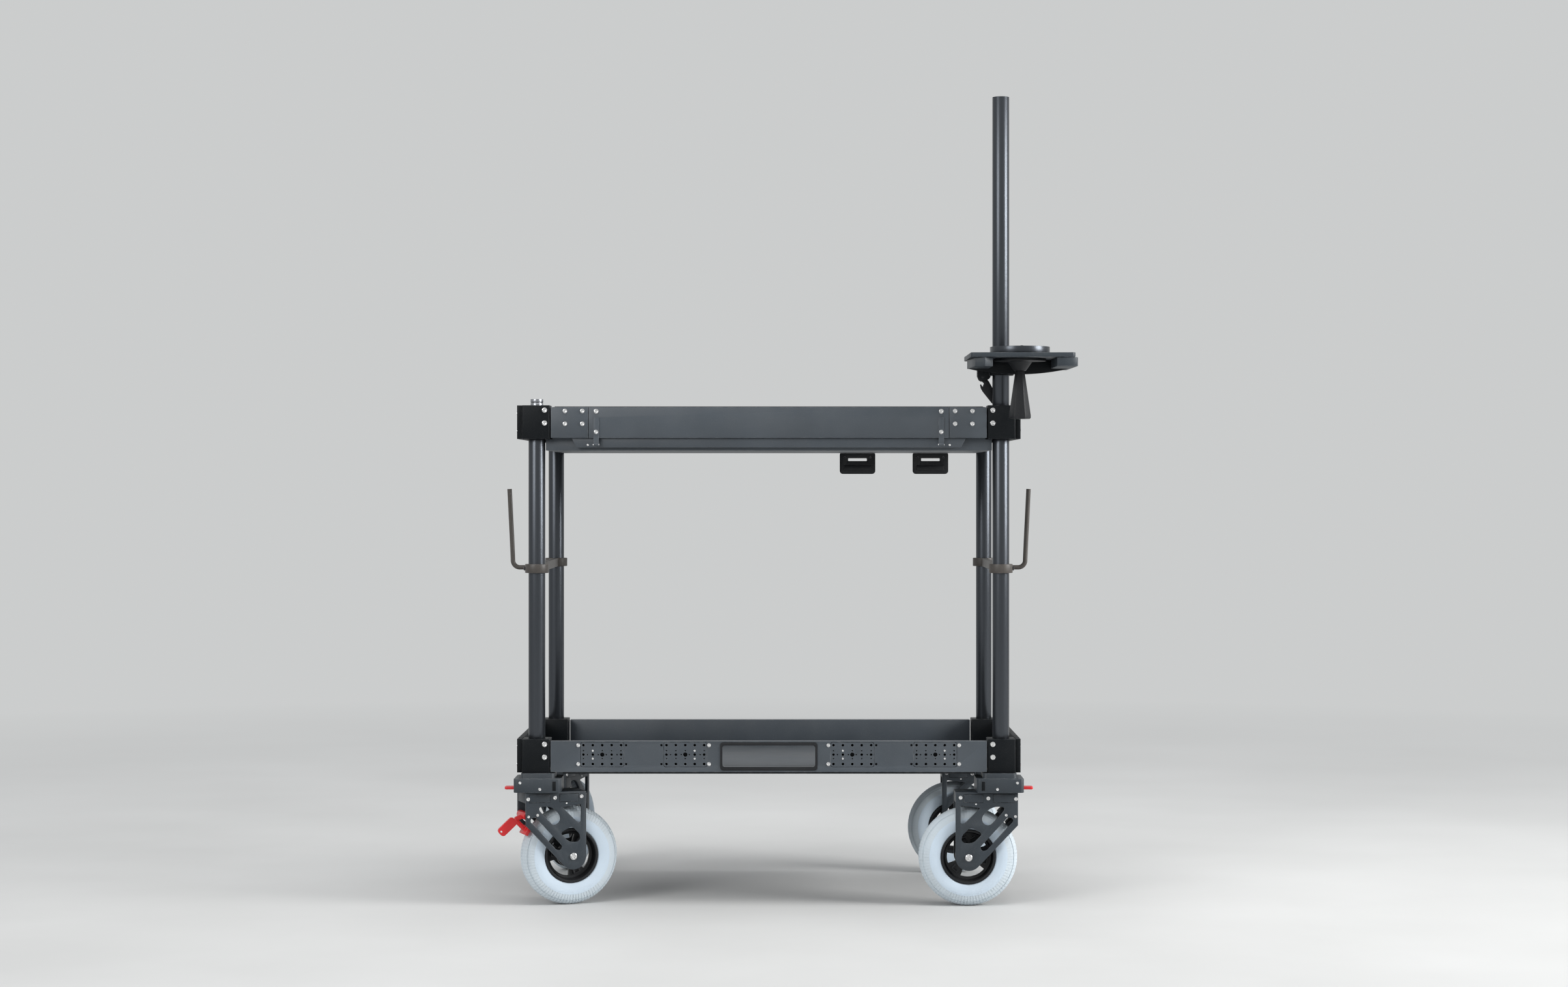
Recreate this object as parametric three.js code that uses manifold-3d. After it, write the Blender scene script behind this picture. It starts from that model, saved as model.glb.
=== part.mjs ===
// Camera cart: two decks on four posts, four swivel casters, a mast with a camera platform.
// Millimetres, +Z up, +X to the right, front face towards -Y.
// The origin is the middle of the lower deck's floor, on its top face.

import * as THREE from 'three';
import { mergeVertices } from 'three/addons/utils/BufferGeometryUtils.js';
import Module from 'manifold-3d';

const wasm = await Module();
wasm.setup();

// Driving sizes of the frame
const deckLength = 997;
const deckDepth = 557;
const postInset = 28.5;
const postRadius = 17;
const deckRise = 674;
const seat = 0.3;
const overrun = 5;

// Corner blocks and rails, alike on both decks
const blockWidth = 56;
const blockHeight = 68;
const blockBelowFloor = 12;
const railHeight = 62;
const railThickness = 20;
const railSetback = 2;
const railLift = 2;
const jointGroove = 2;
const blockCorner = 3;

// Sheet trays
const sheet = 3;
const endPlate = 10;
const endPlateMargin = 11;
const ribWidth = 30;
const ribHeight = 8;
const ribInset = 150;
const matRecess = 3;
const compartmentDrop = 23;
const compartmentLip = 5;
const trayEndInset = 47;

// Handle window in the lower front rail
const windowWidth = 188;
const windowHeight = 44;
const windowCorner = 6;

// Accessory plates with their grid of threaded holes
const holeMarginAcross = 5.75;
const holeMarginUp = 6;
const plateThickness = 8;
const plateCorner = 4;
const plateNear = 168.5;
const plateEndInset = 104;
const holePitch = 19;
const holeRadius = 3;
const centreHoleRadius = 4.8;
const holeColumns = 5;
const holeRows = 3;

// Drop front of the upper deck and its hinge rail
const flapWidth = 727;
const flapThickness = 8.5;
const flapClearance = 1;
const hingeStrapWidth = 10.6;
const hingeStrapInset = 15.5;
const hingeStrapThickness = 3;
const hingeStrapRise = 41;
const hingeDrop = 13.6;
const knuckleRadius = 3.4;
const hingeRailInset = 22.5;
const hingeRailHeight = 19;
const hingeRailThickness = 8;
const bracketLength = 57;

// Posts, mast and socket
const mastRise = 625;
const mastSocketDepth = 40;
const mastWall = 3;
const socketOuterRadius = 12.8;
const socketHeight = 13;
const socketBoreRadius = 8.1;
const socketBoreDepth = 60;

// Webbing loops under the upper deck
const loopWidth = 78;
const loopDrop = 42;
const loopThickness = 12;
const loopSlotWidth = 41;
const loopSlotHeight = 6;
const loopSlotBelowTop = 11;
const loopCorner = 7;
const loopPitch = 160;
const loopEndInset = 99.5;

// Side hooks that carry stands along the cart's ends
const hookHeight = 400;
const hookCollarHeight = 18;
const hookCollarWall = 7;
const hookBarWidth = 12;
const hookRodRadius = 4.7;
const hookRodReach = 63;
const hookRodRise = 161;
const hookRodLean = 7;
const hookRodY = -170;
const hookBend = 14;

// Camera platform on the mast
const platformRise = 100;
const platformWidth = 206;
const platformFront = 180;
const platformBack = 38;
const platformThickness = 9;
const platformChamfer = 6;
const platformSideRail = 34;
const platformRailHeight = 18;
const bowlAhead = 95;
const bowlAside = 31;
const bowlRadius = 59.5;
const bowlHeight = 14;
const bowlBoreRadius = 45;
const mastNotchClearance = 5;
const yokeDepth = 14;
const yokeSag = 15;
const yokeTuck = 5;
const clampHeight = 30;
const clampWall = 9;
const clampEar = 22;
const clampSlot = 3;
const clampLeverLength = 56;
const clampLeverWidth = 14;
const clampLeverThickness = 6;
const clampPivotRadius = 6;
const clampLeverGap = 1.5;
const clampLeverAngle = 50;
const tieHandleLength = 96;
const tieHandleRadius = 22.5;
const tieHandleNeckRadius = 12;
const tieWasherRadius = 52;
const tieWasherHeight = 6;
const tieConeHeight = 18;
const tieConeRadius = 25;
const tieFootHeight = 4;

// Casters
const casterInset = 32.5;
const casterPlateWidth = 68;
const casterPlateThickness = 10;
const housingWidth = 95;
const housingHeight = 27.5;
const housingCorner = 8;
const swivelGap = 0.6;
const axleDrop = 131.5;
const casterTrail = 63;
const wheelRadius = 100;
const tyreWidth = 50;
const rimRadius = 56;
const rimWidth = 44;
const rimBand = 7;
const webThickness = 12;
const hubRadius = 20;
const hubWidth = 54;
const axleRadius = 6;
const axleHeadRadius = 9;
const axleHeadHeight = 5;
const forkGap = 58;
const forkPlate = 6;
const forkTopWidth = 125.6;
const forkLead = 36.2;
const forkBossRadius = 26.5;
const forkShoulder = 66;
const crownHeight = 22;
const tyreShoulder = 7;
const lockWidth = 22;
const lockThickness = 6;
const lockReach = 21;
const lockCorner = 4;
const stemRadius = 12;
const stemHeight = 18;
const brakeBarRadius = 4.5;
const rimSlots = 3;
const rimSlotDegrees = 72;
const rimSlotMargin = 4;
const rimSlotInset = 12;
const lockDepth = 18;
const pedalPivotRadius = 8;
const pedalElbowX = 19;
const pedalElbowZ = 8;
const pedalAngle = 42;
const pedalLength = 42;
const pedalWidth = 19;
const pedalThickness = 6;
const brakeArmThickness = 9;
const brakePadThickness = 7;
const brakePadLength = 18;
const brakePadAngle = 150;
const brakeGap = 1.5;

// Corner radius of a lever's blade as a share of its width
const roundedEndShare = 1 / 3;

// Swivel of each caster at rest, in degrees from its inward square position
const swivelFrontLeft = 20;
const swivelFrontRight = 0;
const swivelRearLeft = 70;
const swivelRearRight = 0;

// Round things are faceted with these counts
const fineSides = 28;
const roundSides = 16;
const smallSides = 8;
const holeSides = 6;
const gripSides = 6;
const curveSteps = 2;
const rodCurveSteps = 4;
const mergeTolerance = 1e-4;

// Places and sizes worked out from the ones above
const halfLength = deckLength / 2;
const halfDepth = deckDepth / 2;
const postX = halfLength - postInset;
const postY = halfDepth - postInset;
const lowerBottom = -blockBelowFloor;
const upperBottom = lowerBottom + deckRise;
const upperTop = upperBottom + blockHeight;
const blockInner = postX - blockWidth / 2;
const railHalf = blockInner - jointGroove;
const railFace = halfDepth - railSetback;
const railBack = railFace - railThickness;
const casterX = halfLength - casterInset;
const casterY = postY;
const housingBottom = lowerBottom - casterPlateThickness - housingHeight - 2 * seat;
const crownTop = housingBottom - swivelGap;
const axleHeight = crownTop - axleDrop;

// Paint and metal of the pieces
const finish = (color, roughness, metalness) =>
  new THREE.MeshStandardMaterial({ color, roughness, metalness });
const slate = finish(0x3a3f46, 0.5, 0.4);
const graphite = finish(0x17191c, 0.5, 0.4);
const anodised = finish(0x1b1e22, 0.3, 0.8);
const charcoal = finish(0x31343a, 0.5, 0.5);
const steel = finish(0xb8bcc0, 0.3, 1);
const rubber = finish(0xb9c6d2, 0.8, 0);
const satinBlack = finish(0x14161a, 0.45, 0.3);
const leverRed = finish(0xd8262c, 0.4, 0.1);
const bracketBrown = finish(0x4a4038, 0.5, 0.6);

// A closed three.js geometry becomes a solid that can be joined and cut
function solid(geometry) {
  const plain = geometry.index ? geometry.toNonIndexed() : geometry.clone();
  plain.deleteAttribute('normal');
  plain.deleteAttribute('uv');
  const merged = mergeVertices(plain, mergeTolerance);
  const indices = merged.index.array;
  const kept = [];
  for (let i = 0; i < indices.length; i += 3) {
    const [a, b, c] = indices.slice(i, i + 3);
    if (a !== b && b !== c && c !== a) {
      kept.push(a, b, c);
    }
  }
  return new wasm.Manifold(new wasm.Mesh({
    numProp: 3,
    vertProperties: new Float32Array(merged.attributes.position.array),
    triVerts: new Uint32Array(kept),
  }));
}

function box(x0, x1, y0, y1, z0, z1) {
  const geometry = new THREE.BoxGeometry(x1 - x0, y1 - y0, z1 - z0);
  geometry.translate((x0 + x1) / 2, (y0 + y1) / 2, (z0 + z1) / 2);
  return solid(geometry);
}

// A plate from an outline in X and Z, from y0 to y1
function plateXZ(shape, y0, y1) {
  const options = { depth: y1 - y0, bevelEnabled: false, curveSegments: curveSteps };
  const geometry = new THREE.ExtrudeGeometry(shape, options);
  geometry.rotateX(Math.PI / 2);
  geometry.translate(0, y1, 0);
  return solid(geometry);
}

// A plate from an outline in X and Y, from z0 to z1
function plateXY(shape, z0, z1) {
  const options = { depth: z1 - z0, bevelEnabled: false, curveSegments: curveSteps };
  const geometry = new THREE.ExtrudeGeometry(shape, options);
  geometry.translate(0, 0, z0);
  return solid(geometry);
}

function cylinderZ(radius, z0, z1, x = 0, y = 0, sides = roundSides) {
  const geometry = new THREE.CylinderGeometry(radius, radius, z1 - z0, sides);
  geometry.rotateX(Math.PI / 2);
  geometry.translate(x, y, (z0 + z1) / 2);
  return solid(geometry);
}

function cylinderY(radius, y0, y1, x = 0, z = 0, sides = roundSides) {
  const geometry = new THREE.CylinderGeometry(radius, radius, y1 - y0, sides);
  geometry.translate(x, (y0 + y1) / 2, z);
  return solid(geometry);
}

function cylinderX(radius, x0, x1, y = 0, z = 0, sides = roundSides) {
  const geometry = new THREE.CylinderGeometry(radius, radius, x1 - x0, sides);
  geometry.rotateZ(Math.PI / 2);
  geometry.translate((x0 + x1) / 2, y, z);
  return solid(geometry);
}

// A turned body about Z from radius and height pairs that start and end on the axis or close
function turned(profile, sides = roundSides) {
  const geometry = new THREE.LatheGeometry(profile.map(([r, z]) => new THREE.Vector2(r, z)), sides);
  geometry.rotateX(Math.PI / 2);
  return solid(geometry);
}

function roundedRectangle(width, height, corner, centreX = 0, centreY = 0) {
  const shape = new THREE.Shape();
  const x = width / 2;
  const y = height / 2;
  shape.moveTo(centreX - x + corner, centreY - y);
  shape.lineTo(centreX + x - corner, centreY - y);
  shape.absarc(centreX + x - corner, centreY - y + corner, corner, -Math.PI / 2, 0, false);
  shape.lineTo(centreX + x, centreY + y - corner);
  shape.absarc(centreX + x - corner, centreY + y - corner, corner, 0, Math.PI / 2, false);
  shape.lineTo(centreX - x + corner, centreY + y);
  shape.absarc(centreX - x + corner, centreY + y - corner, corner, Math.PI / 2, Math.PI, false);
  shape.lineTo(centreX - x, centreY - y + corner);
  shape.absarc(centreX - x + corner, centreY - y + corner, corner, Math.PI, 1.5 * Math.PI, false);
  return shape;
}

function outline(points) {
  return new THREE.Shape(points.map(([x, y]) => new THREE.Vector2(x, y)));
}

function meshOf(name, manifold, material) {
  const mesh = manifold.getMesh();
  const geometry = new THREE.BufferGeometry();
  geometry.setAttribute('position', new THREE.BufferAttribute(new Float32Array(mesh.vertProperties), 3));
  geometry.setIndex(new THREE.BufferAttribute(new Uint32Array(mesh.triVerts), 1));
  geometry.computeVertexNormals();
  const piece = new THREE.Mesh(geometry, material);
  piece.name = name;
  return piece;
}

const group = new THREE.Group();

// Corner blocks clamp the posts at the four corners of each deck. Where the mast turns in its
// block, the bore's flats clear the tube's corners
const turningBore = (postRadius + seat) / Math.cos(Math.PI / roundSides);

function cornerBlock(bottom, boreRadius) {
  const shape = roundedRectangle(blockWidth, blockWidth, blockCorner);
  const body = plateXY(shape, bottom, bottom + blockHeight);
  return body.subtract(cylinderZ(boreRadius, bottom - overrun, bottom + blockHeight + overrun));
}

const corners = [
  ['front_left', -1, -1],
  ['front_right', 1, -1],
  ['rear_left', -1, 1],
  ['rear_right', 1, 1],
];

for (const [deck, bottom] of [['lower', lowerBottom], ['upper', upperBottom]]) {
  for (const [corner, sx, sy] of corners) {
    const turns = deck === 'upper' && corner === 'front_right';
    const boreRadius = turns ? turningBore : postRadius + seat;
    const block = meshOf(`${deck}_block_${corner}`, cornerBlock(bottom, boreRadius), graphite);
    block.position.set(sx * postX, sy * postY, 0);
    group.add(block);
  }
}

// Long rails between the corner blocks
function railBody(bottom) {
  return box(-railHalf, railHalf, -railFace, -railBack, bottom + railLift, bottom + railLift + railHeight);
}

const plateFar = railHalf - plateEndInset;
const plateWidth = holePitch * (holeColumns - 1) + 2 * holeMarginAcross;
const plateHeight = holePitch * (holeRows - 1) + 2 * holeMarginUp;
const platePlaces = [-plateFar, -plateNear, plateNear, plateFar];
const plateCentre = plateHeight / 2;

function platePocket(x) {
  const shape = roundedRectangle(
    plateWidth + 2 * seat, plateHeight + 2 * seat, plateCorner + seat, x, plateCentre);
  const pocketBack = -railFace + plateThickness + seat;
  const pocket = plateXZ(shape, -railFace - overrun, pocketBack);
  const grid = holePitch * (holeColumns - 1) + 4 * holeRadius;
  const gridHeight = holePitch * (holeRows - 1) + 2 * holeRadius;
  const relief = roundedRectangle(grid, gridHeight, holeRadius, x, plateCentre);
  return pocket.add(plateXZ(relief, pocketBack - seat, -railBack + overrun));
}

function lowerFrontRail() {
  let rail = railBody(lowerBottom);
  const opening = roundedRectangle(windowWidth, windowHeight, windowCorner, 0, windowHeight / 2);
  rail = rail.subtract(plateXZ(opening, -railFace - overrun, -railBack + overrun));
  for (const x of platePlaces) {
    rail = rail.subtract(platePocket(x));
  }
  return rail;
}

group.add(meshOf('lower_front_rail', lowerFrontRail(), slate));

const rearRail = meshOf('lower_rear_rail', railBody(lowerBottom), slate);
rearRail.rotation.z = Math.PI;
group.add(rearRail);

// Accessory plates: a grid of threaded holes, the middle one larger
function accessoryPlate() {
  const shape = roundedRectangle(plateWidth, plateHeight, plateCorner);
  for (let column = 0; column < holeColumns; column += 1) {
    for (let row = 0; row < holeRows; row += 1) {
      const middle = column === (holeColumns - 1) / 2 && row === (holeRows - 1) / 2;
      const hole = new THREE.Path();
      const x = (column - (holeColumns - 1) / 2) * holePitch;
      const z = (row - (holeRows - 1) / 2) * holePitch;
      const radius = middle ? centreHoleRadius : holeRadius;
      for (let side = 0; side < holeSides; side += 1) {
        const angle = (side / holeSides) * 2 * Math.PI;
        const point = [x + radius * Math.cos(angle), z + radius * Math.sin(angle)];
        if (side === 0) {
          hole.moveTo(...point);
        } else {
          hole.lineTo(...point);
        }
      }
      hole.closePath();
      shape.holes.push(hole);
    }
  }
  return plateXZ(shape, 0, plateThickness);
}

platePlaces.forEach((x, index) => {
  const plate = meshOf(`accessory_plate_${index + 1}`, accessoryPlate(), slate);
  plate.position.set(x, -railFace, plateCentre);
  group.add(plate);
});

// Trays: a sheet floor that runs out between the blocks to a thick plate across each end
const betweenBlocks = postY - blockWidth / 2 - seat;
const trayHalfDepth = railBack - seat;
const trayHalfLength = blockInner - seat;
const endFace = halfLength + seat;

function endPlates(bottom) {
  const half = halfDepth - endPlateMargin;
  const right = box(endFace, endFace + endPlate, -half, half, bottom, bottom + blockHeight);
  return right.add(box(-endFace - endPlate, -endFace, -half, half, bottom, bottom + blockHeight));
}

function lowerTray() {
  let tray = box(-trayHalfLength, trayHalfLength, -trayHalfDepth, trayHalfDepth, -sheet, 0);
  const reach = endFace + endPlate / 2;
  tray = tray.add(box(-reach, reach, -betweenBlocks, betweenBlocks, -sheet, 0));
  for (const side of [-1, 1]) {
    const middle = side * ribInset;
    tray = tray.add(box(
      -trayHalfLength, trayHalfLength, middle - ribWidth / 2, middle + ribWidth / 2,
      -sheet - ribHeight, -sheet / 2));
  }
  return tray.add(endPlates(lowerBottom));
}

group.add(meshOf('lower_deck_tray', lowerTray(), slate));

// The upper deck is a shallow compartment: a flat top, a dropped floor and an open front
const compartmentFloor = upperBottom - compartmentDrop;
const deckSurface = upperTop - matRecess;
const compartmentHalf = railHalf - jointGroove;

function upperTray() {
  const dropHalf = halfLength - trayEndInset;
  const inner = trayHalfDepth - sheet;
  let tray = box(-compartmentHalf, compartmentHalf, -trayHalfDepth, trayHalfDepth,
    compartmentFloor, deckSurface);
  const skirtTop = upperBottom - seat;
  tray = tray.add(box(-dropHalf, dropHalf, -trayHalfDepth, trayHalfDepth, compartmentFloor, skirtTop));
  tray = tray.subtract(box(
    -compartmentHalf + sheet, compartmentHalf - sheet, -inner, inner,
    compartmentFloor + sheet, deckSurface - sheet));
  const mouthBottom = upperBottom + railLift + compartmentLip;
  tray = tray.subtract(box(
    -flapWidth / 2 + compartmentLip, flapWidth / 2 - compartmentLip, -trayHalfDepth - overrun, 0,
    mouthBottom, deckSurface - sheet));
  const reach = endFace + endPlate / 2;
  const skirt = box(-reach, reach, -betweenBlocks, betweenBlocks, deckSurface - sheet, deckSurface);
  return tray.add(skirt).add(endPlates(upperBottom));
}

group.add(meshOf('upper_deck_tray', upperTray(), slate));

const upperRearRail = meshOf('upper_rear_rail', railBody(upperBottom), slate);
upperRearRail.rotation.z = Math.PI;
group.add(upperRearRail);

// The front rail of the upper deck frames the mouth that the drop front closes
const flapHalf = flapWidth / 2;
const flapBack = -railFace + flapThickness;

function upperFrontRail() {
  const rail = railBody(upperBottom);
  const rebate = box(-flapHalf - flapClearance, flapHalf + flapClearance, -railFace - overrun,
    flapBack + seat, upperBottom, upperTop + overrun);
  const mouthTop = deckSurface - sheet;
  const mouth = box(-flapHalf + compartmentLip, flapHalf - compartmentLip, -railFace - overrun,
    -railBack + overrun, upperBottom + railLift + compartmentLip, mouthTop - compartmentLip);
  return rail.subtract(rebate).subtract(mouth);
}

group.add(meshOf('upper_front_rail', upperFrontRail(), slate));

// Hinge rail under the mouth, with a slanted bracket at each end
const hingeZ = upperBottom + railLift - hingeDrop;
const hingeY = -railFace - knuckleRadius + seat;
const hingeRailFront = -railFace + knuckleRadius + hingeStrapThickness;

function hingeRail() {
  const half = flapHalf - hingeRailInset;
  const top = upperBottom + railLift - seat;
  const bottom = top - hingeRailHeight;
  const slope = hingeRailHeight / 2;
  const shape = outline([
    [-half - bracketLength + slope, bottom],
    [half + bracketLength - slope, bottom],
    [half + bracketLength, top],
    [-half - bracketLength, top],
  ]);
  return plateXZ(shape, hingeRailFront, hingeRailFront + hingeRailThickness);
}

group.add(meshOf('hinge_rail', hingeRail(), charcoal));

// Drop front with its two hinge straps and knuckles
function dropFront() {
  const bottom = upperBottom + railLift;
  let flap = box(-flapHalf, flapHalf, -railFace, flapBack, bottom, bottom + railHeight);
  for (const side of [-1, 1]) {
    const x = side * (flapHalf - hingeStrapInset);
    const left = x - hingeStrapWidth / 2;
    const right = x + hingeStrapWidth / 2;
    const strap = box(left, right, -railFace - hingeStrapThickness, -railFace + seat,
      hingeZ, bottom + hingeStrapRise);
    const knuckle = cylinderX(knuckleRadius, left, right, hingeY, hingeZ, smallSides);
    flap = flap.add(strap).add(knuckle);
  }
  return flap;
}

group.add(meshOf('drop_front', dropFront(), slate));

// Posts run through the blocks of both decks; the front right one leaves room for the mast's foot
function tube(radius, wall, z0, z1, sides = roundSides) {
  return cylinderZ(radius, z0, z1, 0, 0, sides)
    .subtract(cylinderZ(radius - wall, z0 - overrun, z1 + overrun, 0, 0, sides));
}

const mastFoot = upperTop - mastSocketDepth;

for (const [corner, sx, sy] of corners) {
  const top = corner === 'front_right' ? mastFoot - seat : upperTop;
  const post = meshOf(`post_${corner}`, tube(postRadius, mastWall, lowerBottom, top), anodised);
  post.position.set(sx * postX, sy * postY, 0);
  group.add(post);
}

const mastTop = upperTop + mastRise;
const mastTube = meshOf('mast_tube', tube(postRadius, mastWall, mastFoot, mastTop), anodised);
mastTube.position.set(postX, -postY, 0);
group.add(mastTube);

// Spigot socket in the front left post
function spigotSocket() {
  const stem = postRadius - mastWall - seat;
  return turned([
    [socketBoreRadius, upperTop - socketBoreDepth],
    [stem, upperTop - socketBoreDepth],
    [stem, upperTop],
    [socketOuterRadius, upperTop],
    [socketOuterRadius, upperTop + socketHeight],
    [socketBoreRadius, upperTop + socketHeight],
    [socketBoreRadius, upperTop - socketBoreDepth],
  ]);
}

const socket = meshOf('spigot_socket', spigotSocket(), steel);
socket.position.set(-postX, -postY, 0);
group.add(socket);

// Webbing loops hang from the compartment floor at the back
function webbingLoop() {
  const top = compartmentFloor - seat;
  const shape = roundedRectangle(loopWidth, loopDrop + loopCorner, loopCorner, 0, top - loopDrop / 2);
  const body = plateXZ(shape, 0, loopThickness);
  const trim = box(-loopWidth, loopWidth, -overrun, loopThickness + overrun, top, top + loopDrop);
  const slotTop = top - loopSlotBelowTop;
  const slot = box(-loopSlotWidth / 2, loopSlotWidth / 2, -overrun, loopThickness + overrun,
    slotTop - loopSlotHeight, slotTop);
  return body.subtract(trim).subtract(slot);
}

const loopOuterX = halfLength - trayEndInset - loopEndInset;
const loopPlaces = [['webbing_loop_inner', loopOuterX - loopPitch], ['webbing_loop_outer', loopOuterX]];
for (const [name, x] of loopPlaces) {
  const loop = meshOf(name, webbingLoop(), satinBlack);
  loop.position.set(x, trayHalfDepth - 2 * loopThickness, 0);
  group.add(loop);
}

// Side hooks: a bar clamped to both posts of an end, and a bent rod that stands up beside it
function sideHook() {
  const outer = postRadius + hookCollarWall;
  const low = hookHeight - hookCollarHeight / 2;
  const high = hookHeight + hookCollarHeight / 2;
  const half = hookBarWidth / 2;
  let hook = box(-half, half, -postY, postY, low, high);
  for (const side of [-1, 1]) {
    hook = hook.add(cylinderZ(outer, low, high, 0, side * postY));
  }
  for (const side of [-1, 1]) {
    hook = hook.subtract(cylinderZ(postRadius + seat, low - overrun, high + overrun, 0, side * postY));
  }
  const path = new THREE.CurvePath();
  const start = new THREE.Vector3(0, hookRodY, hookHeight);
  const corner = new THREE.Vector3(hookRodReach - hookRodLean, hookRodY, hookHeight);
  const bendStart = corner.clone().setX(corner.x - hookBend);
  const bendEnd = corner.clone().setZ(corner.z + hookBend);
  const end = new THREE.Vector3(hookRodReach, hookRodY, hookHeight + hookRodRise);
  path.add(new THREE.LineCurve3(start, bendStart));
  path.add(new THREE.QuadraticBezierCurve3(bendStart, corner, bendEnd));
  path.add(new THREE.LineCurve3(bendEnd, end));
  const section = new THREE.Shape();
  section.absarc(0, 0, hookRodRadius, 0, 2 * Math.PI, false);
  const rod = new THREE.ExtrudeGeometry(section, {
    steps: roundSides, curveSegments: rodCurveSteps, bevelEnabled: false, extrudePath: path,
  });
  return hook.add(solid(rod));
}

const rightHook = meshOf('side_hook_right', sideHook(), bracketBrown);
rightHook.position.x = postX;
group.add(rightHook);

const mirrored = sideHook().mirror([1, 0, 0]);
const leftHook = meshOf('side_hook_left', mirrored, bracketBrown);
leftHook.position.x = -postX;
group.add(leftHook);

// Camera platform: a plate with cut corners on two side rails, centred on the bowl and notched
// round the mast
const mastAxis = [postX, -postY];
const plateTop = upperTop + platformRise;
const plateUnder = plateTop - platformThickness;
const bowlX = postX + bowlAside;
const bowlY = -postY - bowlAhead;
const platformX = bowlX;

function platformOutline() {
  const half = platformWidth / 2;
  const front = -postY - platformFront;
  const back = -postY + platformBack;
  const cut = platformChamfer;
  return outline([
    [platformX - half + cut, front],
    [platformX + half - cut, front],
    [platformX + half, front + cut],
    [platformX + half, back - cut],
    [platformX + half - cut, back],
    [platformX - half + cut, back],
    [platformX - half, back - cut],
    [platformX - half, front + cut],
  ]);
}

// A cross beam under the plate, just ahead of the mast's collar, with a bowed lower edge
function yoke() {
  const half = platformWidth / 2;
  const railLow = plateUnder - platformRailHeight;
  const shape = new THREE.Shape();
  shape.moveTo(platformX - half, plateTop - platformThickness / 2);
  shape.lineTo(platformX - half, railLow + yokeTuck);
  shape.quadraticCurveTo(platformX, railLow - 2 * yokeSag, platformX + half, railLow + yokeTuck);
  shape.lineTo(platformX + half, plateTop - platformThickness / 2);
  const back = -postY - postRadius - clampWall - 3 * seat;
  const geometry = new THREE.ExtrudeGeometry(shape, {
    depth: yokeDepth, bevelEnabled: false, curveSegments: smallSides,
  });
  geometry.rotateX(Math.PI / 2);
  geometry.translate(0, back, 0);
  return solid(geometry);
}

function platformPlate() {
  const whole = plateXY(platformOutline(), plateUnder - platformRailHeight, plateTop);
  const inner = platformWidth / 2 - platformSideRail;
  const back = -postY + platformBack;
  const front = -postY - platformFront;
  const belly = box(platformX - inner, platformX + inner, front - overrun, back + overrun,
    plateUnder - platformRailHeight - overrun, plateUnder);
  const notchRadius = postRadius + mastNotchClearance;
  const low = plateUnder - platformRailHeight - overrun;
  const notch = cylinderZ(notchRadius, low, plateTop + overrun, ...mastAxis)
    .add(box(postX - notchRadius, postX + notchRadius, -postY, back + overrun, low, plateTop + overrun));
  const clampRoom = box(platformX - platformWidth, postX + postRadius + clampWall + seat,
    -postY - postRadius - clampWall - seat, back + overrun, low, plateUnder);
  const throat = cylinderZ(bowlBoreRadius, low, plateTop + overrun, bowlX, bowlY);
  return whole.subtract(belly).subtract(clampRoom).add(yoke()).subtract(notch).subtract(throat);
}

group.add(meshOf('camera_platform', platformPlate(), charcoal));

// Bowl ring that takes the head, on top of the platform
function bowlRing() {
  const low = plateTop + seat;
  const high = low + bowlHeight;
  return turned([
    [bowlBoreRadius, low],
    [bowlRadius, low],
    [bowlRadius, high],
    [bowlBoreRadius + bowlHeight / 2, high],
    [bowlBoreRadius, high - bowlHeight / 2],
    [bowlBoreRadius, low],
  ], fineSides);
}

const bowl = meshOf('bowl_ring', bowlRing(), charcoal);
bowl.position.set(bowlX, bowlY, 0);
group.add(bowl);

// Tie-down: a washer that closes the bowl from below, a cone and a six-sided tapered grip
function tieDown() {
  const washerTop = plateUnder - seat;
  const coneTop = washerTop - tieWasherHeight;
  const neck = coneTop - tieConeHeight;
  const foot = neck - tieHandleLength;
  const grip = turned([
    [0, neck + overrun],
    [tieHandleNeckRadius, neck + overrun],
    [tieHandleNeckRadius, neck],
    [tieHandleRadius, foot + tieFootHeight],
    [tieHandleRadius, foot],
    [0, foot],
  ].reverse(), gripSides);
  const top = turned([
    [0, neck],
    [tieHandleNeckRadius, neck],
    [tieConeRadius, coneTop],
    [tieWasherRadius, coneTop],
    [tieWasherRadius, washerTop],
    [0, washerTop],
  ]);
  return top.add(grip);
}

const handle = meshOf('tie_down_handle', tieDown(), satinBlack);
handle.position.set(bowlX, bowlY, 0);
group.add(handle);

// Split collar that grips the mast under the platform, and its cam lever
const clampTop = plateUnder - seat;
const clampLow = clampTop - clampHeight;
const clampPivotX = postX - postRadius - clampWall - clampEar / 2;
const clampPivotZ = clampLow - clampPivotRadius / 2;

function mastClamp() {
  const outer = postRadius + clampWall;
  const earFar = postX - outer - clampEar;
  const earHalf = clampSlot / 2 + clampWall;
  const earLow = clampPivotZ - clampPivotRadius;
  let collar = cylinderZ(outer, clampLow, clampTop, ...mastAxis);
  collar = collar.add(box(earFar, postX, -postY - earHalf, -postY + earHalf, clampLow, clampTop));
  collar = collar.add(box(earFar, earFar + clampEar, -postY - earHalf, -postY + earHalf, earLow, clampTop));
  const slot = box(earFar - overrun, postX, -postY - clampSlot / 2, -postY + clampSlot / 2,
    earLow - overrun, clampTop + overrun);
  const bore = cylinderZ(postRadius + seat, clampLow - overrun, clampTop + overrun, ...mastAxis);
  const pin = cylinderY(clampPivotRadius / 2 + seat, -postY - 2 * earHalf, -postY + 2 * earHalf,
    clampPivotX, clampPivotZ, smallSides);
  return collar.subtract(slot).subtract(bore).subtract(pin);
}

group.add(meshOf('mast_clamp', mastClamp(), charcoal));

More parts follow.
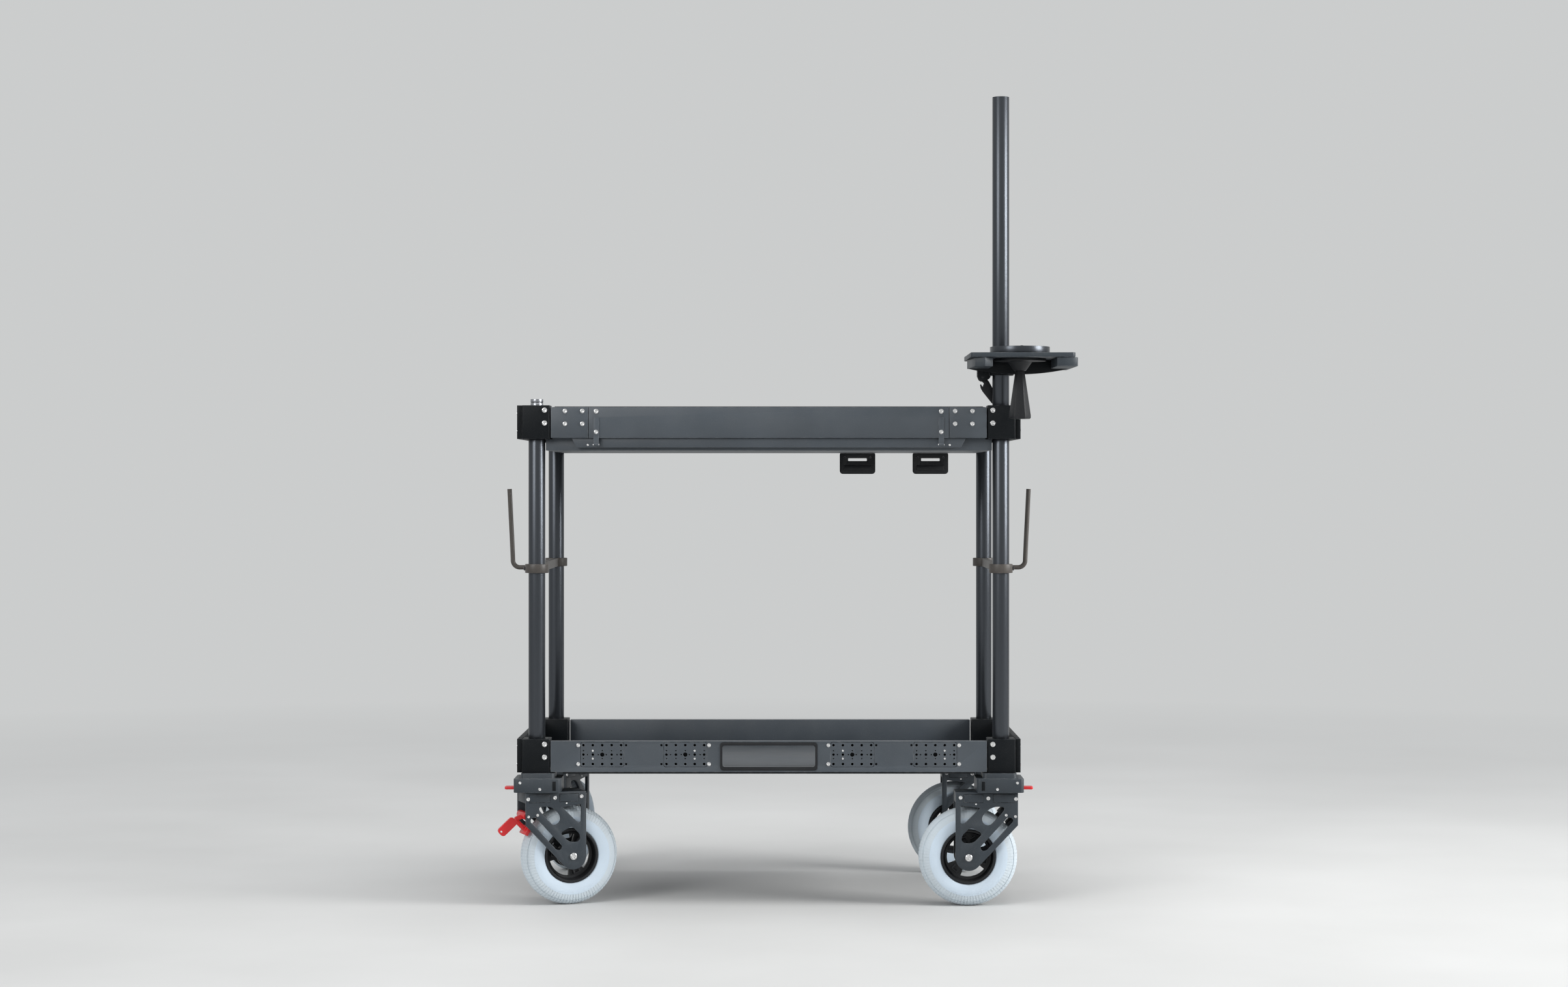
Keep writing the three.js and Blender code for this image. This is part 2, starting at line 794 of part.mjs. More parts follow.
function clampLever() {
  const earHalf = clampSlot / 2 + clampWall;
  const near = postRadius + clampLeverGap;
  const far = near + clampLeverThickness;
  const pin = cylinderY(clampPivotRadius / 2, -earHalf - seat, far, 0, 0, smallSides);
  const eye = cylinderY(clampPivotRadius, near, far, 0, 0, smallSides);
  const shape = roundedRectangle(
    clampLeverLength, clampLeverWidth, clampLeverWidth * roundedEndShare, clampLeverLength / 2, 0);
  const blade = plateXZ(shape, near, far);
  return pin.add(eye).add(blade);
}

const lever = meshOf('clamp_lever', clampLever(), satinBlack);
lever.position.set(clampPivotX, -postY, clampPivotZ);
lever.rotation.y = THREE.MathUtils.degToRad(clampLeverAngle);
group.add(lever);

// Swivel casters. In a caster's own frame +X is its trail and the swivel axis is Z
const crownBottom = crownTop - crownHeight;
const casterCorners = {
  front_left: { x: -casterX, y: -casterY, turn: swivelFrontLeft, outward: -1 },
  front_right: { x: casterX, y: -casterY, turn: 180 + swivelFrontRight, outward: 1 },
  rear_left: { x: -casterX, y: casterY, turn: swivelRearLeft, outward: -1 },
  rear_right: { x: casterX, y: casterY, turn: 180 + swivelRearRight, outward: 1 },
};

const lockMiddle = housingBottom + lockThickness;

function casterHousing() {
  const plateTopZ = lowerBottom - seat;
  const plateLow = plateTopZ - casterPlateThickness;
  const block = roundedRectangle(housingWidth, housingWidth, housingCorner);
  const flange = roundedRectangle(casterPlateWidth, casterPlateWidth, housingCorner);
  const body = plateXY(block, housingBottom, plateLow).add(plateXY(flange, plateLow - seat, plateTopZ));
  const bore = cylinderZ(stemRadius + seat, housingBottom - overrun, housingBottom + stemHeight + seat);
  const slotHalf = lockWidth / 2 + seat;
  const slotDrop = lockThickness / 2 + seat;
  const slot = box(housingWidth / 2 - lockDepth - seat, housingWidth / 2 + overrun, -slotHalf, slotHalf,
    lockMiddle - slotDrop, lockMiddle + slotDrop);
  return body.subtract(bore).subtract(slot);
}

// The red lock lever sits in its slot and is pulled straight out to free the swivel
function lockLever() {
  const shape = roundedRectangle(lockDepth + lockReach, lockWidth, lockCorner);
  return plateXY(shape, lockMiddle - lockThickness / 2, lockMiddle + lockThickness / 2);
}

// Openings of a fork plate: across from the leading edge, and up from the axle to the crown's top
const forkWindowShares = [
  [[0.599, 0.765], [0.867, 0.514], [0.919, 0.514], [0.919, 0.801]],
  [[0.174, 0.782], [0.314, 0.621], [0.482, 0.454], [0.615, 0.594], [0.433, 0.782]],
  [[0.566, 0.368], [0.7, 0.235], [0.8, 0.215], [0.9, 0.23], [0.909, 0.327], [0.762, 0.468]],
  [[0.07, 0.56], [0.146, 0.487], [0.5, 0.115], [0.575, 0.1], [0.61, 0.16], [0.16, 0.625], [0.09, 0.61]],
];

function forkPlateShape() {
  const shape = new THREE.Shape();
  const shoulder = new THREE.Vector2(-forkLead, crownTop - forkShoulder);
  const hub = new THREE.Vector2(casterTrail, axleHeight);
  const reach = hub.clone().sub(shoulder);
  const along = Math.atan2(reach.y, reach.x) - Math.asin(forkBossRadius / reach.length());
  shape.moveTo(-forkLead, crownTop);
  shape.lineTo(-forkLead, shoulder.y);
  shape.absarc(hub.x, hub.y, forkBossRadius, along - Math.PI / 2, 0, false);
  shape.lineTo(casterTrail + forkBossRadius, crownTop);
  for (const shares of forkWindowShares) {
    const points = shares.map(([across, up]) => new THREE.Vector2(
      -forkLead + across * forkTopWidth, axleHeight + up * axleDrop));
    shape.holes.push(new THREE.Path(points));
  }
  return shape;
}

// Brake bars: across from the swivel axis towards the leading edge, and down to the shoulder
const brakeBarShares = [[0.34, 0.69], [0.86, 0.73]];
const brakeBars = brakeBarShares.map(([across, down]) => [
  -forkLead * across, crownTop - forkShoulder * down,
]);

function casterFork() {
  const outer = forkGap / 2 + forkPlate;
  const front = casterTrail + forkBossRadius;
  const crown = box(-forkLead, front, -outer, outer, crownBottom, crownTop);
  const stem = cylinderZ(stemRadius, crownTop - overrun, housingBottom + stemHeight);
  let fork = plateXZ(forkPlateShape(), -outer, -forkGap / 2);
  fork = fork.add(plateXZ(forkPlateShape(), forkGap / 2, outer)).add(crown).add(stem);
  for (const [x, z] of brakeBars) {
    fork = fork.add(cylinderY(brakeBarRadius, -outer, outer, x, z, smallSides));
  }
  const bore = cylinderY(axleRadius + seat, -outer - overrun, outer + overrun, casterTrail, axleHeight);
  return fork.subtract(bore);
}

function axle() {
  const outer = forkGap / 2 + forkPlate + seat;
  const tip = outer + axleHeadHeight;
  const shaft = cylinderY(axleRadius, -tip, tip, casterTrail, axleHeight);
  const near = cylinderY(axleHeadRadius, -tip, -outer, casterTrail, axleHeight, smallSides);
  const far = cylinderY(axleHeadRadius, outer, tip, casterTrail, axleHeight, smallSides);
  return shaft.add(near).add(far);
}

// Wheels are turned about Z and stand on a flat between two facet corners
function standing(manifold, turn) {
  return manifold.rotate([0, 0, turn]).rotate([90, 0, 0]).translate([casterTrail, 0, axleHeight]);
}

function wheelRim() {
  const bore = axleRadius + seat;
  const hub = hubWidth / 2;
  const web = webThickness / 2;
  const band = rimRadius - rimBand;
  const half = rimWidth / 2;
  let rim = turned([
    [bore, -hub], [hubRadius, -hub], [hubRadius, -web], [band, -web], [band, -half], [rimRadius, -half],
    [rimRadius, half], [band, half], [band, web], [hubRadius, web], [hubRadius, hub], [bore, hub],
    [bore, -hub],
  ], fineSides);
  const inner = hubRadius + rimSlotInset;
  const outer = band - rimSlotMargin;
  const sweep = THREE.MathUtils.degToRad(rimSlotDegrees);
  for (let index = 0; index < rimSlots; index += 1) {
    const start = (index / rimSlots) * 2 * Math.PI;
    const slot = new THREE.Shape();
    slot.absarc(0, 0, outer, start, start + sweep, false);
    slot.absarc(0, 0, inner, start + sweep, start, true);
    rim = rim.subtract(plateXY(slot, -web - overrun, web + overrun));
  }
  return standing(rim, 180 / fineSides);
}

function tyre() {
  const inner = rimRadius + seat;
  const half = tyreWidth / 2;
  const bead = rimWidth / 2;
  const tread = wheelRadius - tyreShoulder;
  const ring = turned([
    [inner, -bead], [tread, -half], [wheelRadius, -half + tyreShoulder],
    [wheelRadius, half - tyreShoulder], [tread, half], [inner, bead], [inner, -bead],
  ], fineSides);
  return standing(ring, 180 / fineSides);
}

for (const [corner, place] of Object.entries(casterCorners)) {
  const fixed = new THREE.Group();
  fixed.position.set(place.x, place.y, 0);
  const housing = meshOf(`caster_housing_${corner}`, casterHousing(), charcoal);
  const lock = meshOf(`swivel_lock_${corner}`, lockLever(), leverRed);
  const facing = place.outward > 0 ? 0 : Math.PI;
  housing.rotation.z = facing;
  lock.rotation.z = facing;
  lock.position.x = place.outward * (housingWidth - lockDepth + lockReach) / 2;
  fixed.add(housing, lock);
  const swivel = new THREE.Group();
  swivel.position.copy(fixed.position);
  swivel.rotation.z = THREE.MathUtils.degToRad(place.turn);
  swivel.add(meshOf(`caster_fork_${corner}`, casterFork(), charcoal));
  swivel.add(meshOf(`axle_${corner}`, axle(), steel));
  swivel.add(meshOf(`wheel_rim_${corner}`, wheelRim(), satinBlack));
  swivel.add(meshOf(`tyre_${corner}`, tyre(), rubber));
  if (corner === 'front_left') {
    swivel.add(meshOf('brake_pedal', brakePedal(), leverRed));
  }
  group.add(fixed, swivel);
}

// A bar in the caster's X and Z between two points
function barXZ(from, to, width, y0, y1) {
  const length = Math.hypot(to[0] - from[0], to[1] - from[1]);
  const shape = roundedRectangle(length, width, width * roundedEndShare, length / 2, 0);
  const angle = THREE.MathUtils.radToDeg(Math.atan2(to[1] - from[1], to[0] - from[0]));
  return plateXZ(shape, y0, y1).rotate([0, -angle, 0]).translate([from[0], 0, from[1]]);
}

// Foot pedal: a sleeve on the outer brake bar, a bent arm, the tongue and the pad at the tyre
function brakePedal() {
  const pivot = brakeBars[1];
  const elbow = [pivot[0] - pedalElbowX, pivot[1] - pedalElbowZ];
  const half = pedalThickness / 2;
  const sleeve = cylinderY(pedalPivotRadius, -forkGap / 2 + seat, forkGap / 2 - seat, ...pivot);
  const bore = cylinderY(brakeBarRadius + seat, -forkGap, forkGap, ...pivot, smallSides);
  const tongueTurn = THREE.MathUtils.degToRad(pedalAngle);
  const tip = [
    elbow[0] - pedalLength * Math.cos(tongueTurn),
    elbow[1] - pedalLength * Math.sin(tongueTurn),
  ];
  const padTurn = THREE.MathUtils.degToRad(brakePadAngle);
  const middle = wheelRadius + brakeGap + brakePadThickness / 2;
  const shoe = [
    casterTrail + middle * Math.cos(padTurn), axleHeight + middle * Math.sin(padTurn)];
  const pad = box(-brakePadThickness / 2, brakePadThickness / 2, -rimWidth / 2, rimWidth / 2,
    -brakePadLength / 2, brakePadLength / 2)
    .rotate([0, -brakePadAngle, 0])
    .translate([shoe[0], 0, shoe[1]]);
  return sleeve
    .add(barXZ(pivot, elbow, brakeArmThickness, -half, half))
    .add(barXZ(elbow, tip, pedalWidth, -half, half))
    .add(barXZ(elbow, shoe, brakeArmThickness, -half, half))
    .add(pad)
    .subtract(bore);
}

export default group;
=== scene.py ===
"""Camera cart: dresses the CAD frame with finishes and fittings, and sets the studio and camera."""

import logging
import math
from collections.abc import Callable
from dataclasses import dataclass, field
from enum import Enum

import bpy
from mathutils import Matrix, Vector


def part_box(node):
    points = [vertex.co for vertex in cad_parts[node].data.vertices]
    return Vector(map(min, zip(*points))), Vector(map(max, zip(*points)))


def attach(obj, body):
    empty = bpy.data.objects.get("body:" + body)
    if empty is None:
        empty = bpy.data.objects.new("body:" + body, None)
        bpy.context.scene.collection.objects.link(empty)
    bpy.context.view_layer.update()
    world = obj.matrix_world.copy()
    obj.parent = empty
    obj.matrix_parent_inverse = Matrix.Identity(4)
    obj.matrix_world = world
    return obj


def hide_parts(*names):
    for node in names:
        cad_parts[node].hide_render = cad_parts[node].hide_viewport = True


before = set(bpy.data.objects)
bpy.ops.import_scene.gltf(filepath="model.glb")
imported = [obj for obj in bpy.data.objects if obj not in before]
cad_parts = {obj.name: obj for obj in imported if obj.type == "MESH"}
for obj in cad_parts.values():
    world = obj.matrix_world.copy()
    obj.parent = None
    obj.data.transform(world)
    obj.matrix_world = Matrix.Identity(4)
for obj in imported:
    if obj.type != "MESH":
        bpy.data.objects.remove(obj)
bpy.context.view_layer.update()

logging.basicConfig(level=logging.INFO, format="%(message)s")
log = logging.getLogger("camera_cart")

Point = tuple[float, float, float]
Colour = tuple[float, float, float]
Shade = tuple[float, float, float, float]
Outline = list[tuple[float, float]]
Socket = bpy.types.NodeSocket

# How many metres a millimetre is, and how many sides round pieces have
MM = 0.001
ROUND = 48
FINE_ROUND = 96
SMALL_ROUND = 20

# Places and sizes that several sub-assemblies share, in millimetres
CORNERS = ("front_left", "front_right", "rear_left", "rear_right")
FRONT_AND_REAR = ((-1, "front"), (1, "rear"))
LEFT_AND_RIGHT = ((-1, "left"), (1, "right"))
FRONT, UP, DOWN = (0, -1, 0), (0, 0, 1), (0, 0, -1)
POST_X = 470.0
POST_Y = 250.0
RAIL_FACE = 276.5
DECK_BOTTOMS = {"lower": -12.0, "upper": 662.0}
OVERRUN = 5.0


class Axis(Enum):
    """The direction that a round piece is turned about."""

    X = (1.0, 0.0, 0.0)
    Y = (0.0, 1.0, 0.0)
    Z = (0.0, 0.0, 1.0)

    def turn(self) -> Matrix:
        """Return the rotation that takes Z to this direction."""
        return facing(self.value)


# Node helpers


def empty_tree(owner: bpy.types.ID) -> "Net":
    """Empty the node tree of a material or world, and return its writer.

    Args:
        owner: The material or world.

    Returns:
        The writer of its nodes.
    """
    owner.use_nodes = True
    owner.node_tree.nodes.clear()
    return Net(owner.node_tree)


def new_group(name: str, inputs: dict[str, object], outputs: dict[str, str]) -> bpy.types.NodeTree:
    """Make an empty shader node group with named sockets.

    Args:
        name: The group's name.
        inputs: Socket name to its default value; a tuple of three is a vector, of four a colour.
        outputs: Socket name to its socket type.

    Returns:
        The new group.
    """
    group = bpy.data.node_groups.new(name, "ShaderNodeTree")
    for label, value in inputs.items():
        kind = "NodeSocketFloat"
        if isinstance(value, tuple):
            kind = "NodeSocketVector" if len(value) == 3 else "NodeSocketColor"
        socket = group.interface.new_socket(label, in_out="INPUT", socket_type=kind)
        socket.default_value = value
    for label, kind in outputs.items():
        group.interface.new_socket(label, in_out="OUTPUT", socket_type=kind)
    return group


class Net:
    """A small writer of shader nodes in one tree."""

    def __init__(self, tree: bpy.types.NodeTree) -> None:
        """Keep the tree that the nodes go into."""
        self.tree = tree

    def node(self, kind: str, settings: dict[str, object] | None = None, **sockets: object) -> bpy.types.Node:
        """Add a node, set its properties and feed its inputs.

        Args:
            kind: The node's type.
            settings: Properties of the node.
            sockets: Input name, with underscores for spaces, to a value or an output socket.

        Returns:
            The new node.
        """
        made = self.tree.nodes.new(kind)
        for key, value in (settings or {}).items():
            setattr(made, key, value)
        for key, value in sockets.items():
            self.feed(made.inputs[key.replace("_", " ")], value)
        return made

    def feed(self, socket: Socket, value: object) -> None:
        """Link an output to a socket, or set the socket's own value.

        Args:
            socket: The input to feed.
            value: An output socket or a plain value.
        """
        if isinstance(value, Socket):
            self.tree.links.new(value, socket)
        else:
            socket.default_value = value

    def maths(self, operation: str, first: object, second: object = 0.0) -> Socket:
        """Add a math node on two values and return its result.

        Args:
            operation: The node's operation.
            first: The first value or output.
            second: The second one.

        Returns:
            The result's output.
        """
        made = self.tree.nodes.new("ShaderNodeMath")
        made.operation = operation
        self.feed(made.inputs[0], first)
        self.feed(made.inputs[1], second)
        return made.outputs[0]

    def between(self, value: object, low: float, high: float) -> Socket:
        """Map a value from low to high onto 0 to 1, held at the ends.

        Args:
            value: The value or output to map.
            low: What becomes 0.
            high: What becomes 1.

        Returns:
            The mapped value's output.
        """
        made = self.node("ShaderNodeMapRange", {"clamp": True}, Value=value)
        made.inputs["From Min"].default_value = low
        made.inputs["From Max"].default_value = high
        return made.outputs["Result"]

    def mix(self, factor: object, first: object, second: object) -> Socket:
        """Mix two colours by a factor and return the colour.

        Args:
            factor: How much of the second colour there is.
            first: The first colour.
            second: The second colour.

        Returns:
            The mixed colour's output.
        """
        made = self.tree.nodes.new("ShaderNodeMix")
        made.data_type = "RGBA"
        self.feed(made.inputs[0], factor)
        self.feed(made.inputs[6], first)
        self.feed(made.inputs[7], second)
        return made.outputs[2]

    def noise(self, vector: object, scale: object, detail: float = 3.0) -> Socket:
        """Add a noise texture and return its value.

        Args:
            vector: Where the noise is read.
            scale: Its scale.
            detail: Its detail.

        Returns:
            The noise value's output.
        """
        made = self.node("ShaderNodeTexNoise", None, Vector=vector, Scale=scale, Detail=detail)
        return made.outputs[0]


def edge_wear_group() -> bpy.types.NodeTree:
    """Return the group that finds worn edges: where a rounded normal leaves the true one.

    Returns:
        The new group.
    """
    group = new_group(
        "edge wear",
        {"Vector": (0.0, 0.0, 0.0), "Amount": 0.5, "Patch Scale": 90.0},
        {"Mask": "NodeSocketFloat"},
    )
    net = Net(group)
    source = net.node("NodeGroupInput")
    rounded = net.node("ShaderNodeBevel", {"samples": 4}, Radius=0.0012)
    true_normal = net.node("ShaderNodeNewGeometry")
    dot = net.node("ShaderNodeVectorMath", {"operation": "DOT_PRODUCT"})
    net.feed(dot.inputs[0], rounded.outputs[0])
    net.feed(dot.inputs[1], true_normal.outputs["Normal"])
    edge = net.between(dot.outputs["Value"], 0.995, 0.9)
    patches = net.between(net.noise(source.outputs["Vector"], source.outputs["Patch Scale"], 5.0), 0.42, 0.68)
    mask = net.maths("MULTIPLY", net.maths("MULTIPLY", edge, patches), source.outputs["Amount"])
    target = net.node("NodeGroupOutput")
    net.feed(target.inputs["Mask"], mask)
    return group


def grain_group() -> bpy.types.NodeTree:
    """Return the group for the fine grain of a coating or a moulding.

    Returns:
        The new group.
    """
    group = new_group(
        "fine grain",
        {"Vector": (0.0, 0.0, 0.0), "Grain Scale": 1400.0, "Cloud Scale": 7.0},
        {"Height": "NodeSocketFloat", "Clouds": "NodeSocketFloat"},
    )
    net = Net(group)
    source = net.node("NodeGroupInput")
    vector = source.outputs["Vector"]
    fine = net.noise(vector, source.outputs["Grain Scale"], 2.0)
    cells = net.node("ShaderNodeTexVoronoi", {"feature": "SMOOTH_F1"}, Vector=vector)
    net.feed(cells.inputs["Scale"], net.maths("MULTIPLY", source.outputs["Grain Scale"], 0.55))
    height = net.maths("ADD", net.maths("MULTIPLY", fine, 0.6), net.maths("MULTIPLY", cells.outputs[0], 0.5))
    target = net.node("NodeGroupOutput")
    net.feed(target.inputs["Height"], height)
    net.feed(target.inputs["Clouds"], net.noise(vector, source.outputs["Cloud Scale"], 4.0))
    return group


def dust_group() -> bpy.types.NodeTree:
    """Return the group for dust and smudges, more of it on faces that look up.

    Returns:
        The new group.
    """
    group = new_group(
        "dust and smudges",
        {"Vector": (0.0, 0.0, 0.0), "Amount": 0.1},
        {"Mask": "NodeSocketFloat"},
    )
    net = Net(group)
    source = net.node("NodeGroupInput")
    normal = net.node("ShaderNodeNewGeometry").outputs["Normal"]
    parts = net.node("ShaderNodeSeparateXYZ", None, Vector=normal)
    upward = net.between(parts.outputs["Z"], -0.4, 1.0)
    patches = net.between(net.noise(source.outputs["Vector"], 16.0, 6.0), 0.35, 0.75)
    specks = net.between(net.noise(source.outputs["Vector"], 420.0, 2.0), 0.56, 0.75)
    both = net.maths("ADD", net.maths("MULTIPLY", patches, upward), net.maths("MULTIPLY", specks, 0.35))
    target = net.node("NodeGroupOutput")
    net.feed(target.inputs["Mask"], net.maths("MULTIPLY", both, source.outputs["Amount"]))
    return group


def streak_group() -> bpy.types.NodeTree:
    """Return the group for drawn or turned metal: long fine lines along one direction.

    Returns:
        The new group.
    """
    group = new_group(
        "metal streaks",
        {"Vector": (0.0, 0.0, 0.0), "Stretch": (900.0, 900.0, 6.0)},
        {"Lines": "NodeSocketFloat"},
    )
    net = Net(group)
    source = net.node("NodeGroupInput")
    stretched = net.node("ShaderNodeVectorMath", {"operation": "MULTIPLY"})
    net.feed(stretched.inputs[0], source.outputs["Vector"])
    net.feed(stretched.inputs[1], source.outputs["Stretch"])
    target = net.node("NodeGroupOutput")
    net.feed(target.inputs["Lines"], net.noise(stretched.outputs[0], 1.0, 3.0))
    return group


class Surface:
    """The shared node groups, each built once."""

    def __init__(self) -> None:
        """Build the groups."""
        self.wear = edge_wear_group()
        self.grain = grain_group()
        self.dust = dust_group()
        self.streaks = streak_group()

    def place(self, net: Net, group: bpy.types.NodeTree, **values: object) -> bpy.types.Node:
        """Put one of the groups in a material and feed its inputs."""
        return net.node("ShaderNodeGroup", {"node_tree": group}, **values)


surface = Surface()


# Finishes


def shade(colour: Colour, factor: float = 1.0) -> Shade:
    """Return a colour with its alpha, made lighter or darker by a factor."""
    return (*(min(1.0, part * factor) for part in colour), 1.0)


@dataclass(frozen=True)
class Coating:
    """A powder coat, paint, moulding or rubber, with grain, clouds, worn edges and dust."""

    name: str
    colour: Colour
    worn: Colour
    roughness: float
    metallic: float = 0.0
    specular: float = 0.5
    grain_scale: float = 1500.0
    grain_depth: float = 0.35
    clouds: float = 0.12
    wear: float = 0.5
    dust: float = 0.12
    dust_colour: Colour = (0.32, 0.31, 0.29)

    def material(self) -> bpy.types.Material:
        """Build the material for this finish.

        Returns:
            The new material.
        """
        made = bpy.data.materials.new(self.name)
        net = empty_tree(made)
        where = net.node("ShaderNodeTexCoord").outputs["Object"]
        grain = surface.place(net, surface.grain, Vector=where, Grain_Scale=self.grain_scale)
        wear = surface.place(net, surface.wear, Vector=where, Amount=self.wear).outputs["Mask"]
        dust = surface.place(net, surface.dust, Vector=where, Amount=self.dust).outputs["Mask"]
        clouds = net.between(grain.outputs["Clouds"], 0.3, 0.7)
        colour = net.mix(clouds, shade(self.colour, 1 - self.clouds), shade(self.colour, 1 + self.clouds))
        colour = net.mix(wear, colour, shade(self.worn))
        colour = net.mix(dust, colour, shade(self.dust_colour))
        rough = net.maths("ADD", net.maths("MULTIPLY", clouds, 0.1), self.roughness - 0.05)
        rough = net.maths("ADD", rough, net.maths("MULTIPLY", dust, 0.6))
        height = self.relief(net, where, grain.outputs["Height"])
        bump = net.node("ShaderNodeBump", None, Strength=self.grain_depth, Distance=0.0003, Height=height)
        shader = net.node("ShaderNodeBsdfPrincipled", None, Base_Color=colour, Roughness=rough)
        shader.inputs["Metallic"].default_value = self.metallic
        shader.inputs["Specular IOR Level"].default_value = self.specular
        net.feed(shader.inputs["Normal"], bump.outputs[0])
        out = net.node("ShaderNodeOutputMaterial")
        net.feed(out.inputs["Surface"], shader.outputs[0])
        return made

    def relief(self, net: Net, where: Socket, height: Socket) -> Socket:
        """Return the height that the bump follows; a plain coating has only its grain."""
        return height


@dataclass(frozen=True)
class DeckMatRubber(Coating):
    """Rubber matting with a raised diamond tread."""

    pitch: float = 0.012

    def relief(self, net: Net, where: Socket, height: Socket) -> Socket:
        """Return the grain with crossing ribs on top.

        Args:
            net: The writer of the material's nodes.
            where: The place on the object.
            height: The grain's height.

        Returns:
            The height that the bump follows.
        """
        total = net.maths("MULTIPLY", height, 0.25)
        for turn in (45, -45):
            crossed = net.node("ShaderNodeMapping", None, Vector=where)
            crossed.inputs["Rotation"].default_value = (0, 0, math.radians(turn))
            wave = net.node("ShaderNodeTexWave", {"bands_direction": "X"}, Vector=crossed.outputs[0])
            wave.inputs["Scale"].default_value = math.pi / (10 * self.pitch)
            total = net.maths("ADD", total, net.between(wave.outputs["Fac"], 0.75, 0.95))
        return total


@dataclass(frozen=True)
class Metal:
    """Bare or anodised metal with drawn or turned lines."""

    name: str
    colour: Colour
    roughness: float
    metallic: float = 1.0
    stretch: Point = (900.0, 900.0, 6.0)
    lines: float = 0.12
    worn: Colour = (0.6, 0.6, 0.6)
    wear: float = 0.3
    dust: float = 0.06

    def material(self) -> bpy.types.Material:
        """Build the material for this finish.

        Returns:
            The new material.
        """
        made = bpy.data.materials.new(self.name)
        net = empty_tree(made)
        where = net.node("ShaderNodeTexCoord").outputs["Object"]
        lines = surface.place(net, surface.streaks, Vector=where, Stretch=self.stretch).outputs["Lines"]
        wear = surface.place(net, surface.wear, Vector=where, Amount=self.wear).outputs["Mask"]
        dust = surface.place(net, surface.dust, Vector=where, Amount=self.dust).outputs["Mask"]
        spread = net.between(lines, 0.3, 0.7)
        colour = net.mix(spread, shade(self.colour, 1 - self.lines), shade(self.colour, 1 + self.lines))
        colour = net.mix(wear, colour, shade(self.worn))
        rough = net.maths("ADD", net.maths("MULTIPLY", spread, self.lines), self.roughness - self.lines / 2)
        rough = net.maths("ADD", rough, net.maths("MULTIPLY", dust, 0.8))
        bump = net.node("ShaderNodeBump", None, Strength=0.06, Distance=0.0001, Height=lines)
        shader = net.node("ShaderNodeBsdfPrincipled", None, Base_Color=colour, Roughness=rough)
        shader.inputs["Metallic"].default_value = self.metallic
        net.feed(shader.inputs["Normal"], bump.outputs[0])
        out = net.node("ShaderNodeOutputMaterial")
        net.feed(out.inputs["Surface"], shader.outputs[0])
        return made


class Finish(Enum):
    """The cart's finishes."""

    SLATE = Coating("slate powder coat", (0.048, 0.059, 0.071), (0.3, 0.31, 0.32), 0.46, grain_depth=0.5)
    BLOCK = Coating(
        "black block paint", (0.005, 0.0065, 0.008), (0.2, 0.2, 0.21), 0.45, specular=0.12, dust=0.05)
    CHARCOAL = Coating(
        "charcoal fork paint", (0.03, 0.038, 0.046), (0.3, 0.31, 0.32), 0.44, specular=0.3, wear=0.7)
    PLASTIC = Coating(
        "satin black moulding", (0.009, 0.01, 0.012), (0.09, 0.09, 0.09), 0.4, specular=0.3,
        grain_scale=2200.0, wear=0.3, dust=0.06)
    HOOK = Coating("worn brown hook coat", (0.05, 0.043, 0.037), (0.3, 0.27, 0.24), 0.45, wear=0.8)
    RED = Coating("red lever coat", (0.6, 0.012, 0.016), (0.75, 0.4, 0.38), 0.34, grain_depth=0.15, dust=0.05)
    TYRE = Coating(
        "pale tyre rubber", (0.54, 0.63, 0.715), (0.66, 0.72, 0.77), 0.72, grain_depth=0.4, clouds=0.06,
        wear=0.2, dust=0.3, dust_colour=(0.42, 0.41, 0.38), specular=0.3)
    TREAD = Coating(
        "dusty tread rubber", (0.555, 0.62, 0.665), (0.64, 0.68, 0.7), 0.78, grain_depth=0.5, clouds=0.1,
        wear=0.2, dust=0.4, dust_colour=(0.46, 0.45, 0.42), specular=0.25)
    SLEEVE = Coating("pale nylon sleeve", (0.5, 0.46, 0.38), (0.6, 0.57, 0.5), 0.5, grain_depth=0.2, dust=0.2)
    MAT = DeckMatRubber(
        "ribbed deck mat", (0.02, 0.021, 0.022), (0.06, 0.06, 0.06), 0.7, grain_depth=0.8, wear=0.1,
        dust=0.06)
    TUBE = Metal(
        "black anodised tube", (0.06, 0.066, 0.075), 0.3, metallic=0.85, lines=0.05, worn=(0.35, 0.36, 0.37))
    ALLOY = Metal("satin grey alloy", (0.3, 0.31, 0.33), 0.34, stretch=(200.0, 200.0, 900.0))
    STEEL = Metal("bright turned steel", (0.72, 0.72, 0.72), 0.26, stretch=(300.0, 300.0, 300.0))
    DARK_STEEL = Metal("blackened screw steel", (0.05, 0.05, 0.055), 0.35, stretch=(300.0, 300.0, 300.0))

    def material(self) -> bpy.types.Material:
        """Return this finish's material, built the first time it is asked for.

        Returns:
            The material.
        """
        if self.name not in built_materials:
            built_materials[self.name] = self.value.material()
        return built_materials[self.name]


built_materials: dict[str, bpy.types.Material] = {}


# Modelling helpers, which take millimetres


def mm(*values: float) -> Point:
    """Return a point given in millimetres in metres."""
    return tuple(value * MM for value in values)


def facing(direction: Point) -> Matrix:
    """Return the rotation that takes Z to a direction."""
    return Vector((0, 0, 1)).rotation_difference(Vector(direction)).to_matrix().to_4x4()


def turn_z(degrees: float) -> Matrix:
    """Return the rotation about Z by an angle in degrees."""
    return Matrix.Rotation(math.radians(degrees), 4, "Z")


def leave_edit() -> None:
    """Go back to object mode."""
    bpy.ops.object.mode_set(mode="OBJECT")


def deselect() -> None:
    """Leave edit mode and deselect everything."""
    if bpy.context.object and bpy.context.object.mode != "OBJECT":
        leave_edit()
    bpy.ops.object.select_all(action="DESELECT")


def pick(*pieces: bpy.types.Object) -> None:
    """Select only these pieces, and make the first one active.

    Args:
        pieces: The pieces.
    """
    deselect()
    for piece in pieces:
        piece.select_set(True)
    bpy.context.view_layer.objects.active = pieces[0]


